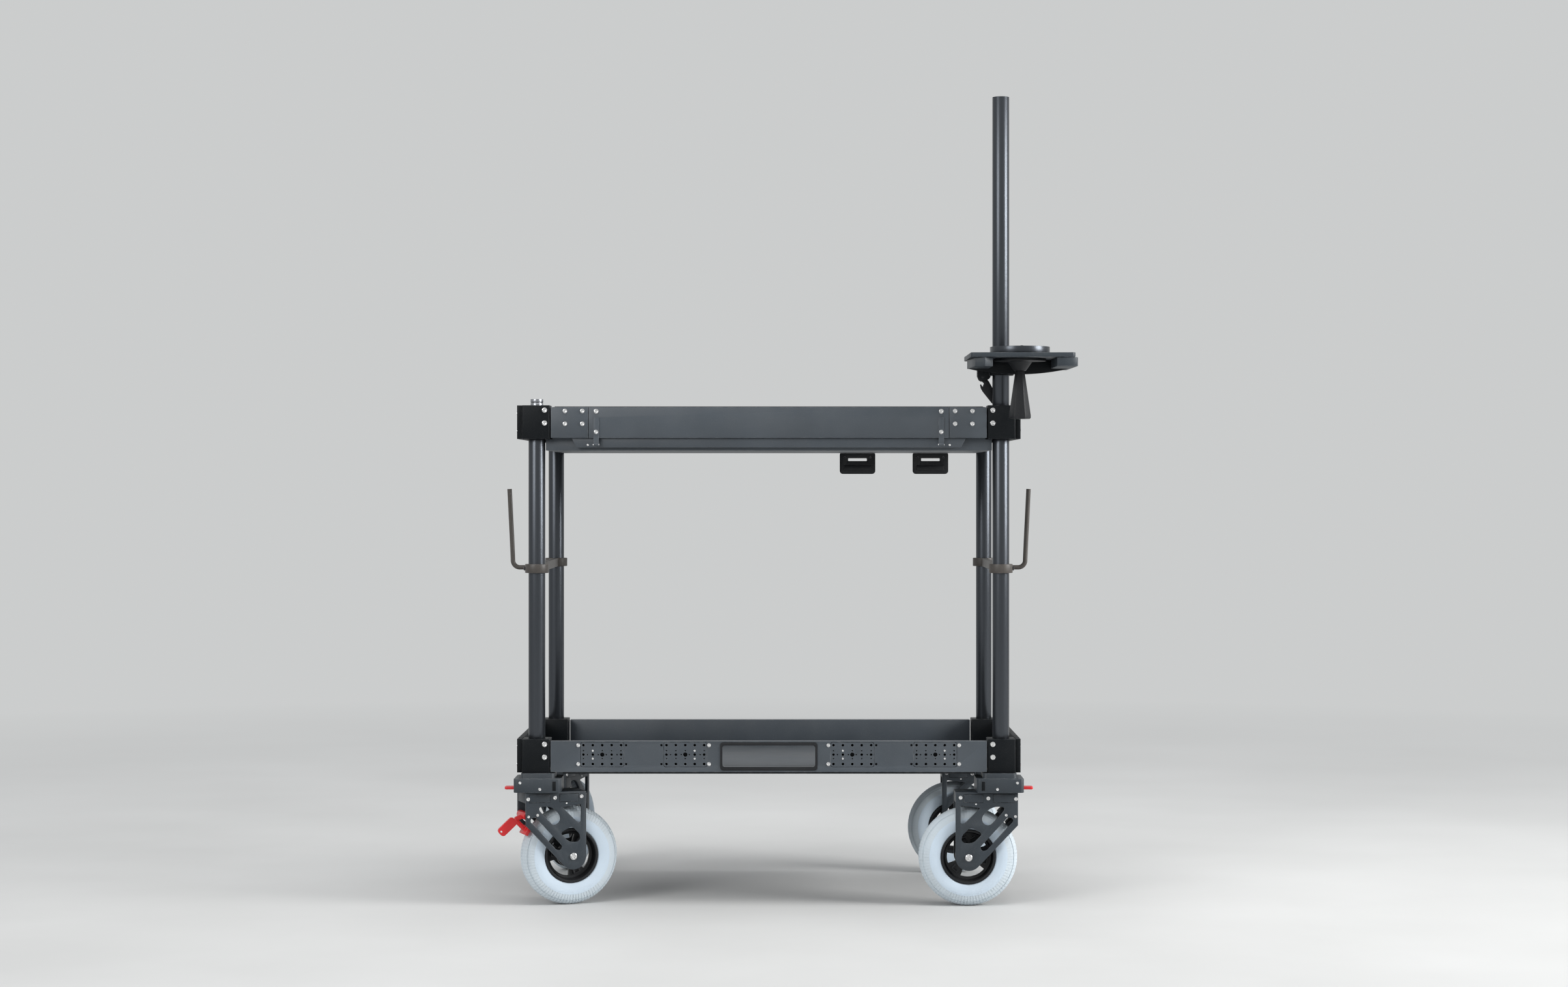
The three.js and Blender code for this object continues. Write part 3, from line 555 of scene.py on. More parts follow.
def settle(piece: bpy.types.Object) -> bpy.types.Object:
    """Put the piece's place, turn and scale in its mesh.

    Args:
        piece: The piece.

    Returns:
        The piece.
    """
    pick(piece)
    bpy.ops.object.transform_apply(location=True, rotation=True, scale=True)
    return piece


def smooth(piece: bpy.types.Object, angle: float = 28) -> bpy.types.Object:
    """Shade a piece smooth over its edges that are blunter than an angle in degrees.

    Args:
        piece: The piece.
        angle: The angle.

    Returns:
        The piece.
    """
    pick(piece)
    bpy.ops.object.shade_smooth_by_angle(angle=math.radians(angle))
    return piece


def modify(piece: bpy.types.Object, kind: str, **settings: object) -> bpy.types.Object:
    """Add a modifier with these settings and apply it.

    Args:
        piece: The piece.
        kind: The modifier's type.
        settings: Its properties.

    Returns:
        The piece.
    """
    pick(piece)
    added = piece.modifiers.new(kind.lower(), kind)
    for key, value in settings.items():
        setattr(added, key, value)
    bpy.ops.object.modifier_apply(modifier=added.name)
    return piece


def bevel(piece: bpy.types.Object, width: float, segments: int = 2, angle: float = 30) -> bpy.types.Object:
    """Round the piece's edges that are sharper than an angle, and shade it smooth between them.

    Args:
        piece: The piece.
        width: The rounding.
        segments: How many steps it has.
        angle: The angle in degrees.

    Returns:
        The piece.
    """
    modify(
        piece, "BEVEL", width=width * MM, segments=segments, limit_method="ANGLE",
        angle_limit=math.radians(angle), harden_normals=False, use_clamp_overlap=True)
    return smooth(piece)


def edit_all() -> None:
    """Select the whole mesh in edit mode."""
    bpy.ops.mesh.select_all(action="SELECT")


def merge_doubles(distance: float = 1e-6) -> None:
    """Merge the vertices of the edited mesh that meet, and leave the whole mesh selected.

    Args:
        distance: How far apart they may lie, in metres.
    """
    edit_all()
    bpy.ops.mesh.remove_doubles(threshold=distance)
    edit_all()


def extrude_faces(*way: float) -> None:
    """Extrude the selected faces by a way in X, Y and Z."""
    bpy.ops.mesh.extrude_region_move(TRANSFORM_OT_translate={"value": mm(*way)})


def close_mesh() -> None:
    """Turn all faces of the edited mesh outwards and leave edit mode."""
    edit_all()
    bpy.ops.mesh.normals_make_consistent(inside=False)
    leave_edit()


def draw_line(corners: list[Point], closed: bool = True) -> bpy.types.Object:
    """Draw a line of edges by extruding one vertex from corner to corner, and stay in edit mode.

    Args:
        corners: The corners in order.
        closed: Whether the last corner joins the first.

    Returns:
        The line, all of it selected.
    """
    deselect()
    bpy.ops.mesh.primitive_plane_add(size=MM)
    piece = bpy.context.object
    bpy.ops.object.mode_set(mode="EDIT")
    bpy.ops.mesh.select_mode(type="VERT")
    edit_all()
    bpy.ops.mesh.merge(type="CENTER")
    bpy.ops.transform.translate(value=mm(*corners[0]))
    ends = corners[1:] + corners[:1] if closed else corners[1:]
    for near, far in zip(corners, ends):
        way = mm(*(b - a for a, b in zip(near, far)))
        bpy.ops.mesh.extrude_vertices_move(TRANSFORM_OT_translate={"value": way})
    if closed:
        merge_doubles()
    edit_all()
    return piece


def clear_selection(piece: bpy.types.Object, kind: str) -> None:
    """Deselect a piece's vertices, edges and faces, ready to pick one kind in code.

    Args:
        piece: The piece.
        kind: VERT, EDGE or FACE.
    """
    pick(piece)
    bpy.ops.object.mode_set(mode="EDIT")
    bpy.ops.mesh.select_mode(type=kind)
    bpy.ops.mesh.select_all(action="DESELECT")
    leave_edit()


def pick_faces(piece: bpy.types.Object, test: Callable[[Vector, Vector], bool]) -> None:
    """Go into edit mode with only the faces selected that pass a test of centre and normal.

    Args:
        piece: The piece.
        test: Tells from a face's centre and normal whether it is picked.
    """
    clear_selection(piece, "FACE")
    for face in piece.data.polygons:
        face.select = test(face.center, face.normal)
    bpy.ops.object.mode_set(mode="EDIT")


def round_edges(piece: bpy.types.Object, width: float, axis: int = 1) -> bpy.types.Object:
    """Round the edges of a piece that run along one axis.

    Args:
        piece: The piece.
        width: The rounding.
        axis: 0, 1 or 2 for X, Y or Z.

    Returns:
        The piece.
    """
    clear_selection(piece, "EDGE")
    corners = piece.data.vertices
    for edge in piece.data.edges:
        along = corners[edge.vertices[0]].co - corners[edge.vertices[1]].co
        edge.select = abs(along[axis]) > 0.99 * along.length
    bpy.ops.object.mode_set(mode="EDIT")
    bpy.ops.mesh.bevel(offset=width * MM, segments=5, affect="EDGES", clamp_overlap=True)
    leave_edit()
    return piece


def cuboid(low: Point, high: Point, width: float = 0.5) -> bpy.types.Object:
    """Make a box between two corners with rounded edges.

    Args:
        low: One corner.
        high: The corner opposite.
        width: The rounding of its edges.

    Returns:
        The box.
    """
    deselect()
    bpy.ops.mesh.primitive_cube_add(size=1, location=mm(*((a + b) / 2 for a, b in zip(low, high))))
    piece = bpy.context.object
    piece.scale = mm(*(abs(b - a) for a, b in zip(low, high)))
    settle(piece)
    return bevel(piece, width) if width else piece


def rod(
    radius: float, start: Point, length: float, axis: Axis = Axis.Z, sides: int = ROUND, width: float = 0.5,
) -> bpy.types.Object:
    """Make a round bar that runs from a point along an axis.

    Args:
        radius: The bar's radius.
        start: The middle of its near end.
        length: How far it runs; a negative length runs back.
        axis: The direction.
        sides: The number of sides.
        width: The rounding of its end edges.

    Returns:
        The bar.
    """
    deselect()
    bpy.ops.mesh.primitive_cylinder_add(vertices=sides, radius=radius * MM, depth=abs(length) * MM)
    piece = bpy.context.object
    middle = Vector(mm(*start)) + Vector(axis.value) * length * MM / 2
    piece.matrix_world = Matrix.Translation(middle) @ axis.turn()
    settle(piece)
    return bevel(piece, width) if width else piece


def turned(
    profile: Outline, start: Point = (0, 0, 0), axis: Axis = Axis.Z, sides: int = ROUND, width: float = 0.0,
) -> bpy.types.Object:
    """Turn a closed profile about an axis, by spinning its line.

    Args:
        profile: Radius and distance along the axis of each corner; the last one joins the first.
        start: The point on the axis that the distances start from.
        axis: The turning axis.
        sides: The number of steps of the spin.
        width: The rounding of its edges.

    Returns:
        The turned piece.
    """
    piece = draw_line([(radius, 0, along) for radius, along in profile])
    bpy.ops.mesh.spin(steps=sides, angle=2 * math.pi, center=(0, 0, 0), axis=(0, 0, 1))
    merge_doubles()
    bpy.ops.mesh.dissolve_degenerate(threshold=1e-7)
    close_mesh()
    piece.matrix_world = Matrix.Translation(mm(*start)) @ axis.turn()
    settle(piece)
    return bevel(piece, width) if width else smooth(piece)


def tube(
    inner: float, outer: float, low: float, high: float, foot: tuple[float, float], sides: int = ROUND,
    width: float = 1.0,
) -> bpy.types.Object:
    """Turn an open upright tube or collar whose axis stands at X and Y.

    Args:
        inner: The inside radius.
        outer: The outside radius.
        low: Where the tube starts.
        high: Where it ends.
        foot: X and Y of its axis.
        sides: The number of steps of the spin.
        width: The rounding of its edges.

    Returns:
        The tube.
    """
    profile = [(inner, low), (outer, low), (outer, high), (inner, high)]
    return turned(profile, (*foot, 0), Axis.Z, sides, width)


def prism(
    outline: Outline, low: float, high: float, corner: float = 0.0, upright: bool = False,
) -> bpy.types.Object:
    """Raise a closed outline into a plate.

    Args:
        outline: The corners in order.
        low: Where the plate starts.
        high: Where it ends.
        corner: The rounding of the outline's own corners, held where two of them would meet.
        upright: Whether the outline stands in XZ, with the plate's thickness along Y.

    Returns:
        The plate.
    """
    near, far = (-high, -low) if upright else (low, high)
    piece = draw_line([(x, y, near) for x, y in outline])
    bpy.ops.mesh.edge_face_add()
    extrude_faces(0, 0, far - near)
    close_mesh()
    if corner:
        round_edges(piece, corner, 2)
    if upright:
        piece.matrix_world = Matrix.Rotation(math.radians(90), 4, "X")
    return settle(piece)


def joined(pieces: list[bpy.types.Object]) -> bpy.types.Object:
    """Join pieces into the first one.

    Args:
        pieces: The pieces.

    Returns:
        The one piece.
    """
    pick(*pieces)
    if len(pieces) > 1:
        bpy.ops.object.join()
    return settle(bpy.context.object)


def shell(node: str, width: float) -> bpy.types.Object:
    """Copy a CAD node with its triangles merged into whole faces and its edges rounded.

    Args:
        node: The CAD node.
        width: The rounding of the edges.

    Returns:
        The copy.
    """
    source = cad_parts[node]
    pick(source)
    place = source.matrix_world.copy()
    bpy.ops.object.duplicate()
    piece = bpy.context.object
    piece.parent = None
    piece.matrix_world = place
    settle(piece)
    bpy.ops.object.mode_set(mode="EDIT")
    merge_doubles(2e-6)
    bpy.ops.mesh.dissolve_limited(angle_limit=math.radians(0.5))
    leave_edit()
    return bevel(piece, width)


def cut(piece: bpy.types.Object, *cutters: bpy.types.Object) -> bpy.types.Object:
    """Cut one piece with others, which are used up, and stop if nothing is left of it.

    Args:
        piece: The piece.
        cutters: What is taken away from it.

    Returns:
        The piece.
    """
    for cutter in cutters:
        modify(piece, "BOOLEAN", operation="DIFFERENCE", object=cutter, solver="EXACT")
        if not piece.data.polygons:
            raise RuntimeError(f"{cutter.name} left nothing of {piece.name}")
        bpy.data.objects.remove(cutter, do_unlink=True)
    return piece


def copy_of(piece: bpy.types.Object, place: Matrix) -> bpy.types.Object:
    """Copy a piece with its own mesh to a place.

    Args:
        piece: The piece.
        place: The move from the piece to its copy.

    Returns:
        The copy.
    """
    made = piece.copy()
    made.data = piece.data.copy()
    bpy.context.collection.objects.link(made)
    made.matrix_world = place @ piece.matrix_world
    return made


def pits(places: list[Point], direction: Point, radius: float, depth: float) -> bpy.types.Object:
    """Return round cutters that sink holes of a depth at the places, as one piece.

    Args:
        places: The middle of each hole's mouth.
        direction: The way the mouths face.
        radius: The holes' radius.
        depth: Their depth.

    Returns:
        The cutters.
    """
    cutters = []
    for place in places:
        deselect()
        bpy.ops.mesh.primitive_cylinder_add(vertices=SMALL_ROUND, radius=radius * MM, depth=depth * 2 * MM)
        cutter = bpy.context.object
        cutter.matrix_world = Matrix.Translation(mm(*place)) @ facing(direction)
        cutters.append(cutter)
    return joined(cutters)


# Dressing


def dress(
    piece: bpy.types.Object, name: str, body: str, finish: Finish, replaces: tuple[str, ...] = (),
) -> bpy.types.Object:
    """Name a finished piece, give it its finish and let it ride on a body.

    Args:
        piece: The piece.
        name: Its name.
        body: The CAD body that it rides on.
        finish: Its finish.
        replaces: The CAD nodes that it stands for.

    Returns:
        The piece.
    """
    piece.name = name
    piece.data.name = name
    piece.data.materials.clear()
    piece.data.materials.append(finish.material())
    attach(piece, body)
    if replaces:
        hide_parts(*replaces)
    log.info("%s on %s", name, body)
    return piece


def dress_node(
    node: str, width: float, finish: Finish, body: str = "chassis", name: str = "",
) -> bpy.types.Object:
    """Copy a CAD node with rounded edges, and let the copy replace it.

    Args:
        node: The CAD node.
        width: The rounding of its edges.
        finish: The copy's finish.
        body: The CAD body that it rides on.
        name: The copy's name; without one it follows the node's.

    Returns:
        The copy.
    """
    return dress(shell(node, width), name or f"{node}_body", body, finish, (node,))


def tint_faces(piece: bpy.types.Object, finish: Finish, test: Callable[[Vector], bool]) -> None:
    """Give a second finish to the faces whose centre passes a test.

    Args:
        piece: The piece.
        finish: The second finish.
        test: Tells from a face's centre whether it is tinted.
    """
    piece.data.materials.append(finish.material())
    for face in piece.data.polygons:
        if test(face.center):
            face.material_index = 1


@dataclass(frozen=True)
class Head:
    """A screw head: its radius, its height and its finish."""

    radius: float
    height: float
    finish: Finish = Finish.STEEL


class Screw(Enum):
    """The screws that show, named for where they sit."""

    BLOCK = Head(5.3, 2.4)
    RAIL = Head(4.6, 1.8)
    END_PLATE = Head(4.2, 1.8)
    PLATE_SIDE = Head(3.9, 1.2)
    PLATE_SET = Head(2.1, 0.7)
    DROP_FRONT = Head(4.9, 2.0)
    STRAP = Head(4.4, 1.8)
    BRACKET = Head(2.3, 1.0)
    HOUSING = Head(2.9, 1.0)
    FORK = Head(3.9, 1.3)
    BRAKE_BAR = Head(2.9, 1.1)
    FORK_PIN = Head(1.8, 0.7)
    HOOK = Head(4.2, 2.6, Finish.DARK_STEEL)
    LOOP = Head(3.0, 1.4, Finish.DARK_STEEL)
    PLATFORM = Head(4.4, 1.4, Finish.DARK_STEEL)
    RING = Head(2.6, 0.8, Finish.DARK_STEEL)
    CLAMP = Head(4.4, 2.4, Finish.DARK_STEEL)
    GRIP = Head(6.0, 0.5, Finish.DARK_STEEL)


def screw_heads(places: list[Point], direction: Point, screw: Screw) -> bpy.types.Object:
    """Model one button screw with its socket and copy it to each place, as one piece.

    Args:
        places: The middle of each head's seat.
        direction: The way the heads face.
        screw: Which screw it is.

    Returns:
        The joined heads.
    """
    radius, height = screw.value.radius, screw.value.height
    deselect()
    bpy.ops.mesh.primitive_cylinder_add(
        vertices=16, radius=radius * MM, depth=height * MM, location=mm(0, 0, height / 2))
    head = settle(bpy.context.object)
    pick_faces(head, lambda centre, normal: normal.z > 0.9)
    bpy.ops.mesh.inset(thickness=radius * 0.5 * MM)
    extrude_faces(0, 0, -height * 0.6)
    leave_edit()
    bevel(head, height * 0.28)
    heads = [copy_of(head, Matrix.Translation(mm(*place)) @ facing(direction)) for place in places]
    bpy.data.objects.remove(head, do_unlink=True)
    return joined(heads)


def fasten(name: str, body: str, screw: Screw, direction: Point, places: list[Point]) -> None:
    """Set a row of screws that face one way, and dress their heads as one piece.

    Args:
        name: The name of the joined heads.
        body: The CAD body that they ride on.
        screw: Which screw it is.
        direction: The way the heads face.
        places: The middle of each head's seat.
    """
    dress(screw_heads(places, direction, screw), name, body, screw.value.finish)


# The cart's frame, in millimetres


@dataclass
class DeckFrame:
    """Corner blocks, rails, trays and accessory plates of both decks."""

    block_face: float = POST_Y + 28.0
    block_rounding: float = 1.2
    block_screw_x: float = 452.0
    block_screw_rises: tuple[float, float] = (58.0, 32.0)
    rail_rounding: float = 0.9
    rail_screws: tuple[float, float] = (411.0, 376.0)
    rail_screw_rises: tuple[float, float] = (56.4, 30.6)
    front_rail_rounding: float = 0.7
    # The black strip under the lower front rail: partly the tray's folded edge, partly painted shade under
    # the rail
    lip_half: float = 416.0
    lip_depths: tuple[float, float] = (0.4, 18.0)
    lip_drops: tuple[float, float] = (3.6, 0.2)
    bezel_depths: tuple[float, float] = (0.6, 1.6)
    bezel_outside: tuple[float, float, float] = (98.0, -7.0, 50.0)
    bezel_inside: tuple[float, float, float] = (93.6, 0.4, 43.6)
    bezel_corners: tuple[float, float] = (6.0, 5.0)
    plate_places: tuple[float, ...] = (-336.0, -168.5, 168.5, 336.0)
    plates_open_right: tuple[int, ...] = (0, 2)
    plate_centre: float = 25.0
    plate_size: tuple[float, float, float] = (86.5, 8.0, 49.0)
    plate_proud: float = 0.1
    plate_corner: float = 4.0
    side_screw: float = 48.2
    columns: int = 5
    pitch: float = 19.0
    pin_offset: float = 8.0
    thread_pit: tuple[float, float] = (2.7, 12.0)
    centre_pit: tuple[float, float] = (4.4, 12.0)
    pin_pit: tuple[float, float] = (1.5, 5.0)
    spare_pit: tuple[float, float] = (2.5, 9.0)
    # Size and depth of the black sheet behind each accessory plate, which is painted shade in its holes
    hole_shade_half: tuple[float, float] = (43.0, 21.8)
    hole_shade_depths: tuple[float, float] = (8.4, 10.0)
    tray_rounding: float = 0.5
    end_face: float = 508.8
    end_plate_inner: float = 498.5
    end_screw_places: tuple[float, ...] = (-250.0, -110.0, 110.0, 250.0)
    end_screw_rises: tuple[float, float] = (16.0, 52.0)
    mat_half: tuple[float, float] = (434.0, 253.0)
    mat_rises: tuple[float, float] = (727.1, 728.3)

    def blocks(self) -> None:
        """Copy the eight corner blocks with rounded edges, and set their screws."""
        for deck, bottom in DECK_BOTTOMS.items():
            for corner in CORNERS:
                dress_node(f"{deck}_block_{corner}", self.block_rounding, Finish.BLOCK)
            for side, label in FRONT_AND_REAR:
                fasten(f"{deck}_block_screws_{label}", "chassis", Screw.BLOCK, (0, side, 0), [
                    (end * self.block_screw_x, side * self.block_face, bottom + rise)
                    for end in (-1, 1) for rise in self.block_screw_rises])

    def rails(self) -> None:
        """Copy the rails, sink the spare holes, and set the screws of the rail ends."""
        for node in ("upper_front_rail", "lower_rear_rail", "upper_rear_rail"):
            dress_node(node, self.rail_rounding, Finish.SLATE)
        rail = shell("lower_front_rail", self.front_rail_rounding)
        holes, screws = [], []
        for index, x in enumerate(self.plate_places):
            outward = -1 if index in self.plates_open_right else 1
            for rise in (-self.pitch, self.pitch):
                screws.append((x + outward * self.side_screw, -RAIL_FACE, self.plate_centre + rise))
                holes.append((x - outward * self.side_screw, -RAIL_FACE, self.plate_centre + rise))
        cut(rail, pits(holes, FRONT, *self.spare_pit))
        dress(rail, "lower_front_rail_body", "chassis", Finish.SLATE, ("lower_front_rail",))
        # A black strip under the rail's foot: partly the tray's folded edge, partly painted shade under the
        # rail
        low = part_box("lower_front_rail")[0]
        near, far = self.lip_depths
        foot, head = (low[2] / MM - drop for drop in self.lip_drops)
        lip = cuboid((-self.lip_half, near - RAIL_FACE, foot), (self.lip_half, far - RAIL_FACE, head))
        dress(lip, "lower_front_rail_lip_and_shade", "chassis", Finish.BLOCK)
        fasten("accessory_side_screws", "chassis", Screw.PLATE_SIDE, FRONT, screws)
        for side, label in FRONT_AND_REAR:
            for deck, bottom in DECK_BOTTOMS.items():
                if (deck, label) == ("lower", "front"):
                    continue
                fasten(f"{deck}_rail_screws_{label}", "chassis", Screw.RAIL, (0, side, 0), [
                    (end * x, side * RAIL_FACE, bottom + rise)
                    for end in (-1, 1) for x in self.rail_screws for rise in self.rail_screw_rises])

    def window_bezel(self) -> None:
        """Frame the handle window with a thin moulded lip."""
        near, far = (-RAIL_FACE - self.bezel_depths[1], self.bezel_depths[0] - RAIL_FACE)
        width, foot, head = self.bezel_outside
        outer = cuboid((-width, near, foot), (width, far, head), 0)
        round_edges(outer, self.bezel_corners[0])
        width, foot, head = self.bezel_inside
        inner = cuboid((-width, near - OVERRUN, foot), (width, far + OVERRUN, head), 0)
        round_edges(inner, self.bezel_corners[1])
        dress(bevel(cut(outer, inner), 0.6), "handle_window_bezel", "chassis", Finish.PLASTIC)

    def accessory_plate(self, index: int, x: float) -> None:
        """Model one accessory plate: its threaded grid, locating holes and two set screws.

        Args:
            index: The plate's number from the left, from 0.
            x: The plate's middle.
        """
        width, thickness, height = self.plate_size
        face, centre = -RAIL_FACE - self.plate_proud, self.plate_centre
        plate = cuboid(
            (x - width / 2, face, centre - height / 2),
            (x + width / 2, face + thickness, centre + height / 2), 0)
        round_edges(plate, self.plate_corner)
        threads, pins, set_screws = [], [], []
        middle = self.columns // 2
        bright = middle - 1 if index in self.plates_open_right else middle + 1
        for column in range(self.columns):
            across = x + (column - middle) * self.pitch
            for row in (-1, 0, 1):
                if (column, row) != (middle, 0):
                    threads.append((across, face, centre + row * self.pitch))
            for drop in (-self.pin_offset, self.pin_offset):
                (set_screws if column == bright else pins).append((across, face, centre + drop))
            sides = {0: (1,), middle: (-1, 1), self.columns - 1: (-1,)}.get(column, ())
            pins += [(across + side * self.pin_offset, face, centre) for side in sides]
        cut(plate, pits(threads, FRONT, *self.thread_pit))
        cut(plate, pits([(x, face, centre)], FRONT, *self.centre_pit))
        cut(plate, pits(pins, FRONT, *self.pin_pit))
        bevel(plate, 0.35, 1)
        name = f"accessory_plate_{index + 1}"
        dress(plate, f"{name}_body", "chassis", Finish.SLATE, (name,))
        # A black sheet just behind the plate, so that its through holes show dark: painted shade in the holes
        width, height = self.hole_shade_half
        near, far = (depth - RAIL_FACE for depth in self.hole_shade_depths)
        hole_shade_wall = cuboid((x - width, near, centre - height), (x + width, far, centre + height), 0.3)
        dress(hole_shade_wall, f"{name}_hole_shade_backing", "chassis", Finish.BLOCK)
        fasten(f"{name}_set_screws", "chassis", Screw.PLATE_SET, FRONT, set_screws)

    def trays(self) -> None:
        """Copy the trays with rounded edges, lay the mat, and screw down the end plates."""
        for deck, bottom in DECK_BOTTOMS.items():
            tray = dress_node(f"{deck}_deck_tray", self.tray_rounding, Finish.SLATE)
            tint_faces(tray, Finish.BLOCK, lambda centre: abs(centre.x) > self.end_plate_inner * MM)
            for side, label in LEFT_AND_RIGHT:
                fasten(f"{deck}_end_screws_{label}", "chassis", Screw.END_PLATE, (side, 0, 0), [
                    (side * self.end_face, y, bottom + rise)
                    for y in self.end_screw_places for rise in self.end_screw_rises])
        x, y = self.mat_half
        low, high = self.mat_rises
        dress(cuboid((-x, -y, low), (x, y, high), 0.4), "upper_deck_mat", "chassis", Finish.MAT)

    def build(self) -> None:
        """Build the frame's pieces."""
        self.blocks()
        self.rails()
        self.window_bezel()
        for index, x in enumerate(self.plate_places):
            self.accessory_plate(index, x)
        self.trays()


@dataclass
class DropFront:
    """The fold-down front of the upper deck, with its straps, hinge rail and brackets."""

    rounding: float = 0.7
    strap_x: float = 348.0
    upper_screw_rise: float = 717.8
    strap_screw: tuple[float, float] = (RAIL_FACE + 3.0, 676.1)
    hinge: tuple[float, float] = (-279.6, 650.4)
    pin_radius: float = 1.9
    pin_half: float = 6.4
    bracket_screw: tuple[float, float, float] = (365.4, -270.1, 650.0)

    def build(self) -> None:
        """Build the flap, its hinge knuckles and the rail under it."""
        dress_node("drop_front", self.rounding, Finish.SLATE, "drop_front", "drop_front_panel")
        fasten("drop_front_upper_screws", "drop_front", Screw.DROP_FRONT, FRONT, [
            (side * self.strap_x, -RAIL_FACE, self.upper_screw_rise) for side in (-1, 1)])
        face, rise = self.strap_screw
        fasten("drop_front_strap_screws", "drop_front", Screw.STRAP, FRONT, [
            (side * self.strap_x, -face, rise) for side in (-1, 1)])
        for side, label in LEFT_AND_RIGHT:
            start = (side * self.strap_x - self.pin_half, *self.hinge)
            pin = rod(self.pin_radius, start, 2 * self.pin_half, Axis.X, SMALL_ROUND, 0.3)
            dress(pin, f"hinge_pin_{label}", "drop_front", Finish.STEEL)
        dress_node("hinge_rail", self.rounding, Finish.SLATE)
        x, y, z = self.bracket_screw
        fasten("hinge_bracket_screws", "chassis", Screw.BRACKET, FRONT, [
            (side * x, y, z) for side in (-1, 1)])


@dataclass
class Uprights:
    """The four posts, the mast and the spigot socket."""

    radius: float = 17.0
    inner: float = 14.0
    sides: int = 64
    low: float = -12.0
    top: float = 730.0
    mast_foot: float = 690.0
    mast_gap: float = 0.3
    mast_top: float = 1355.0
    cap: Outline = field(default_factory=lambda: [
        (0, -12), (13.8, -12), (13.8, 0), (16.4, 0), (16.2, 2.5), (0, 3.1)])
    socket: Outline = field(default_factory=lambda: [
        (8.1, -60), (13.7, -60), (13.7, 0), (12.8, 0), (12.8, 4), (12.2, 4.6), (12.2, 6.2), (12.8, 6.8),
        (12.8, 13), (8.1, 13)])

    def upright(self, foot: tuple[float, float], low: float, high: float) -> bpy.types.Object:
        """Turn one open tube."""
        return tube(self.inner, self.radius, low, high, foot, self.sides, 0.5)

    def build(self) -> None:
        """Build the posts, mast, caps and socket."""
        for corner in CORNERS:
            x = POST_X * (-1 if "left" in corner else 1)
            y = POST_Y * (-1 if "front" in corner else 1)
            top = self.mast_foot - self.mast_gap if corner == "front_right" else self.top
            node = f"post_{corner}"
            dress(self.upright((x, y), self.low, top), f"{node}_tube", "chassis", Finish.TUBE, (node,))
            if "rear" in corner:
                cap = turned(self.cap, (x, y, self.top), width=0.6)
                dress(cap, f"post_cap_{corner}", "chassis", Finish.PLASTIC)
        mast = self.upright((POST_X, -POST_Y), self.mast_foot, self.mast_top)
        dress(mast, "mast_body", "mast", Finish.TUBE, ("mast_tube",))
        socket = turned(self.socket, (-POST_X, -POST_Y, self.top), width=0.4)
        dress(socket, "spigot_socket_body", "chassis", Finish.ALLOY, ("spigot_socket",))


@dataclass
class SideHooks:
    """A bar across each end of the cart with a bent rod that holds stands."""

    height: float = 400.0
    bar_half: tuple[float, float, float] = (6.0, POST_Y - 20.0, 9.0)
    collar_inner: float = 17.3
    collar_radius: float = 24.0
    rod_radius: float = 4.7
    rod_y: float = -170.0
    rod_round: int = 6
    bend: float = 14.0
    bend_steps: int = 10
    bend_pull: float = 0.45
    reach: tuple[float, float] = (526.0, 533.0)
    rod_top: float = 561.0
    nut: tuple[float, float] = (7.5, 5.0)

    def bent_rod(self, side: int) -> bpy.types.Object:
        """Sweep the bent rod as a curve and turn it into a mesh.

        Args:
            side: -1 for the left hook, 1 for the right.

        Returns:
            The rod.
        """
        deselect()
        bpy.ops.curve.primitive_bezier_curve_add()
        curve = bpy.context.object
        curve.data.dimensions = "3D"
        curve.data.resolution_u = self.bend_steps
        curve.data.bevel_depth = self.rod_radius * MM
        curve.data.bevel_resolution = self.rod_round
        curve.data.use_fill_caps = True
        points = curve.data.splines[0].bezier_points
        points.add(2)
        base, tip = self.reach
        route = [
            (POST_X, self.height), (base - self.bend, self.height), (base, self.height + self.bend),
            (tip, self.rod_top)]
        for point, (x, z) in zip(points, route):
            point.co = mm(side * x, self.rod_y, z)
            point.handle_left_type = point.handle_right_type = "VECTOR"
        pull = self.bend * self.bend_pull
        for index, (x, z) in ((1, (base - pull, self.height)), (2, (base, self.height + pull))):
            point = points[index]
            point.handle_left_type = point.handle_right_type = "FREE"
            inner = mm(side * x, self.rod_y, z)
            outer = tuple(2 * a - b for a, b in zip(point.co, inner))
            point.handle_right = inner if index == 1 else outer
            point.handle_left = outer if index == 1 else inner
        pick(curve)
        bpy.ops.object.convert(target="MESH")
        return bevel(settle(bpy.context.object), 0.8)

    def build(self) -> None:
        """Build both hooks."""
        thick, long, rise = self.bar_half
        low, high = self.height - rise, self.height + rise
        for side, label in LEFT_AND_RIGHT:
            x = side * POST_X
            parts = [cuboid((x - thick, -long, low), (x + thick, long, high), 1.0), self.bent_rod(side)]
            for end in (-1, 1):
                parts.append(tube(self.collar_inner, self.collar_radius, low, high, (x, end * POST_Y)))
            radius, length = self.nut
            start = (x + side * thick, self.rod_y, self.height)
            parts.append(rod(radius, start, side * length, Axis.X, SMALL_ROUND, 0.8))
            dress(joined(parts), f"side_hook_{label}_body", "chassis", Finish.HOOK, (f"side_hook_{label}",))
            fasten(f"hook_collar_screws_{label}", "chassis", Screw.HOOK, (side, 0, 0), [
                (x + side * self.collar_radius, end * POST_Y, self.height) for end in (-1, 1)])


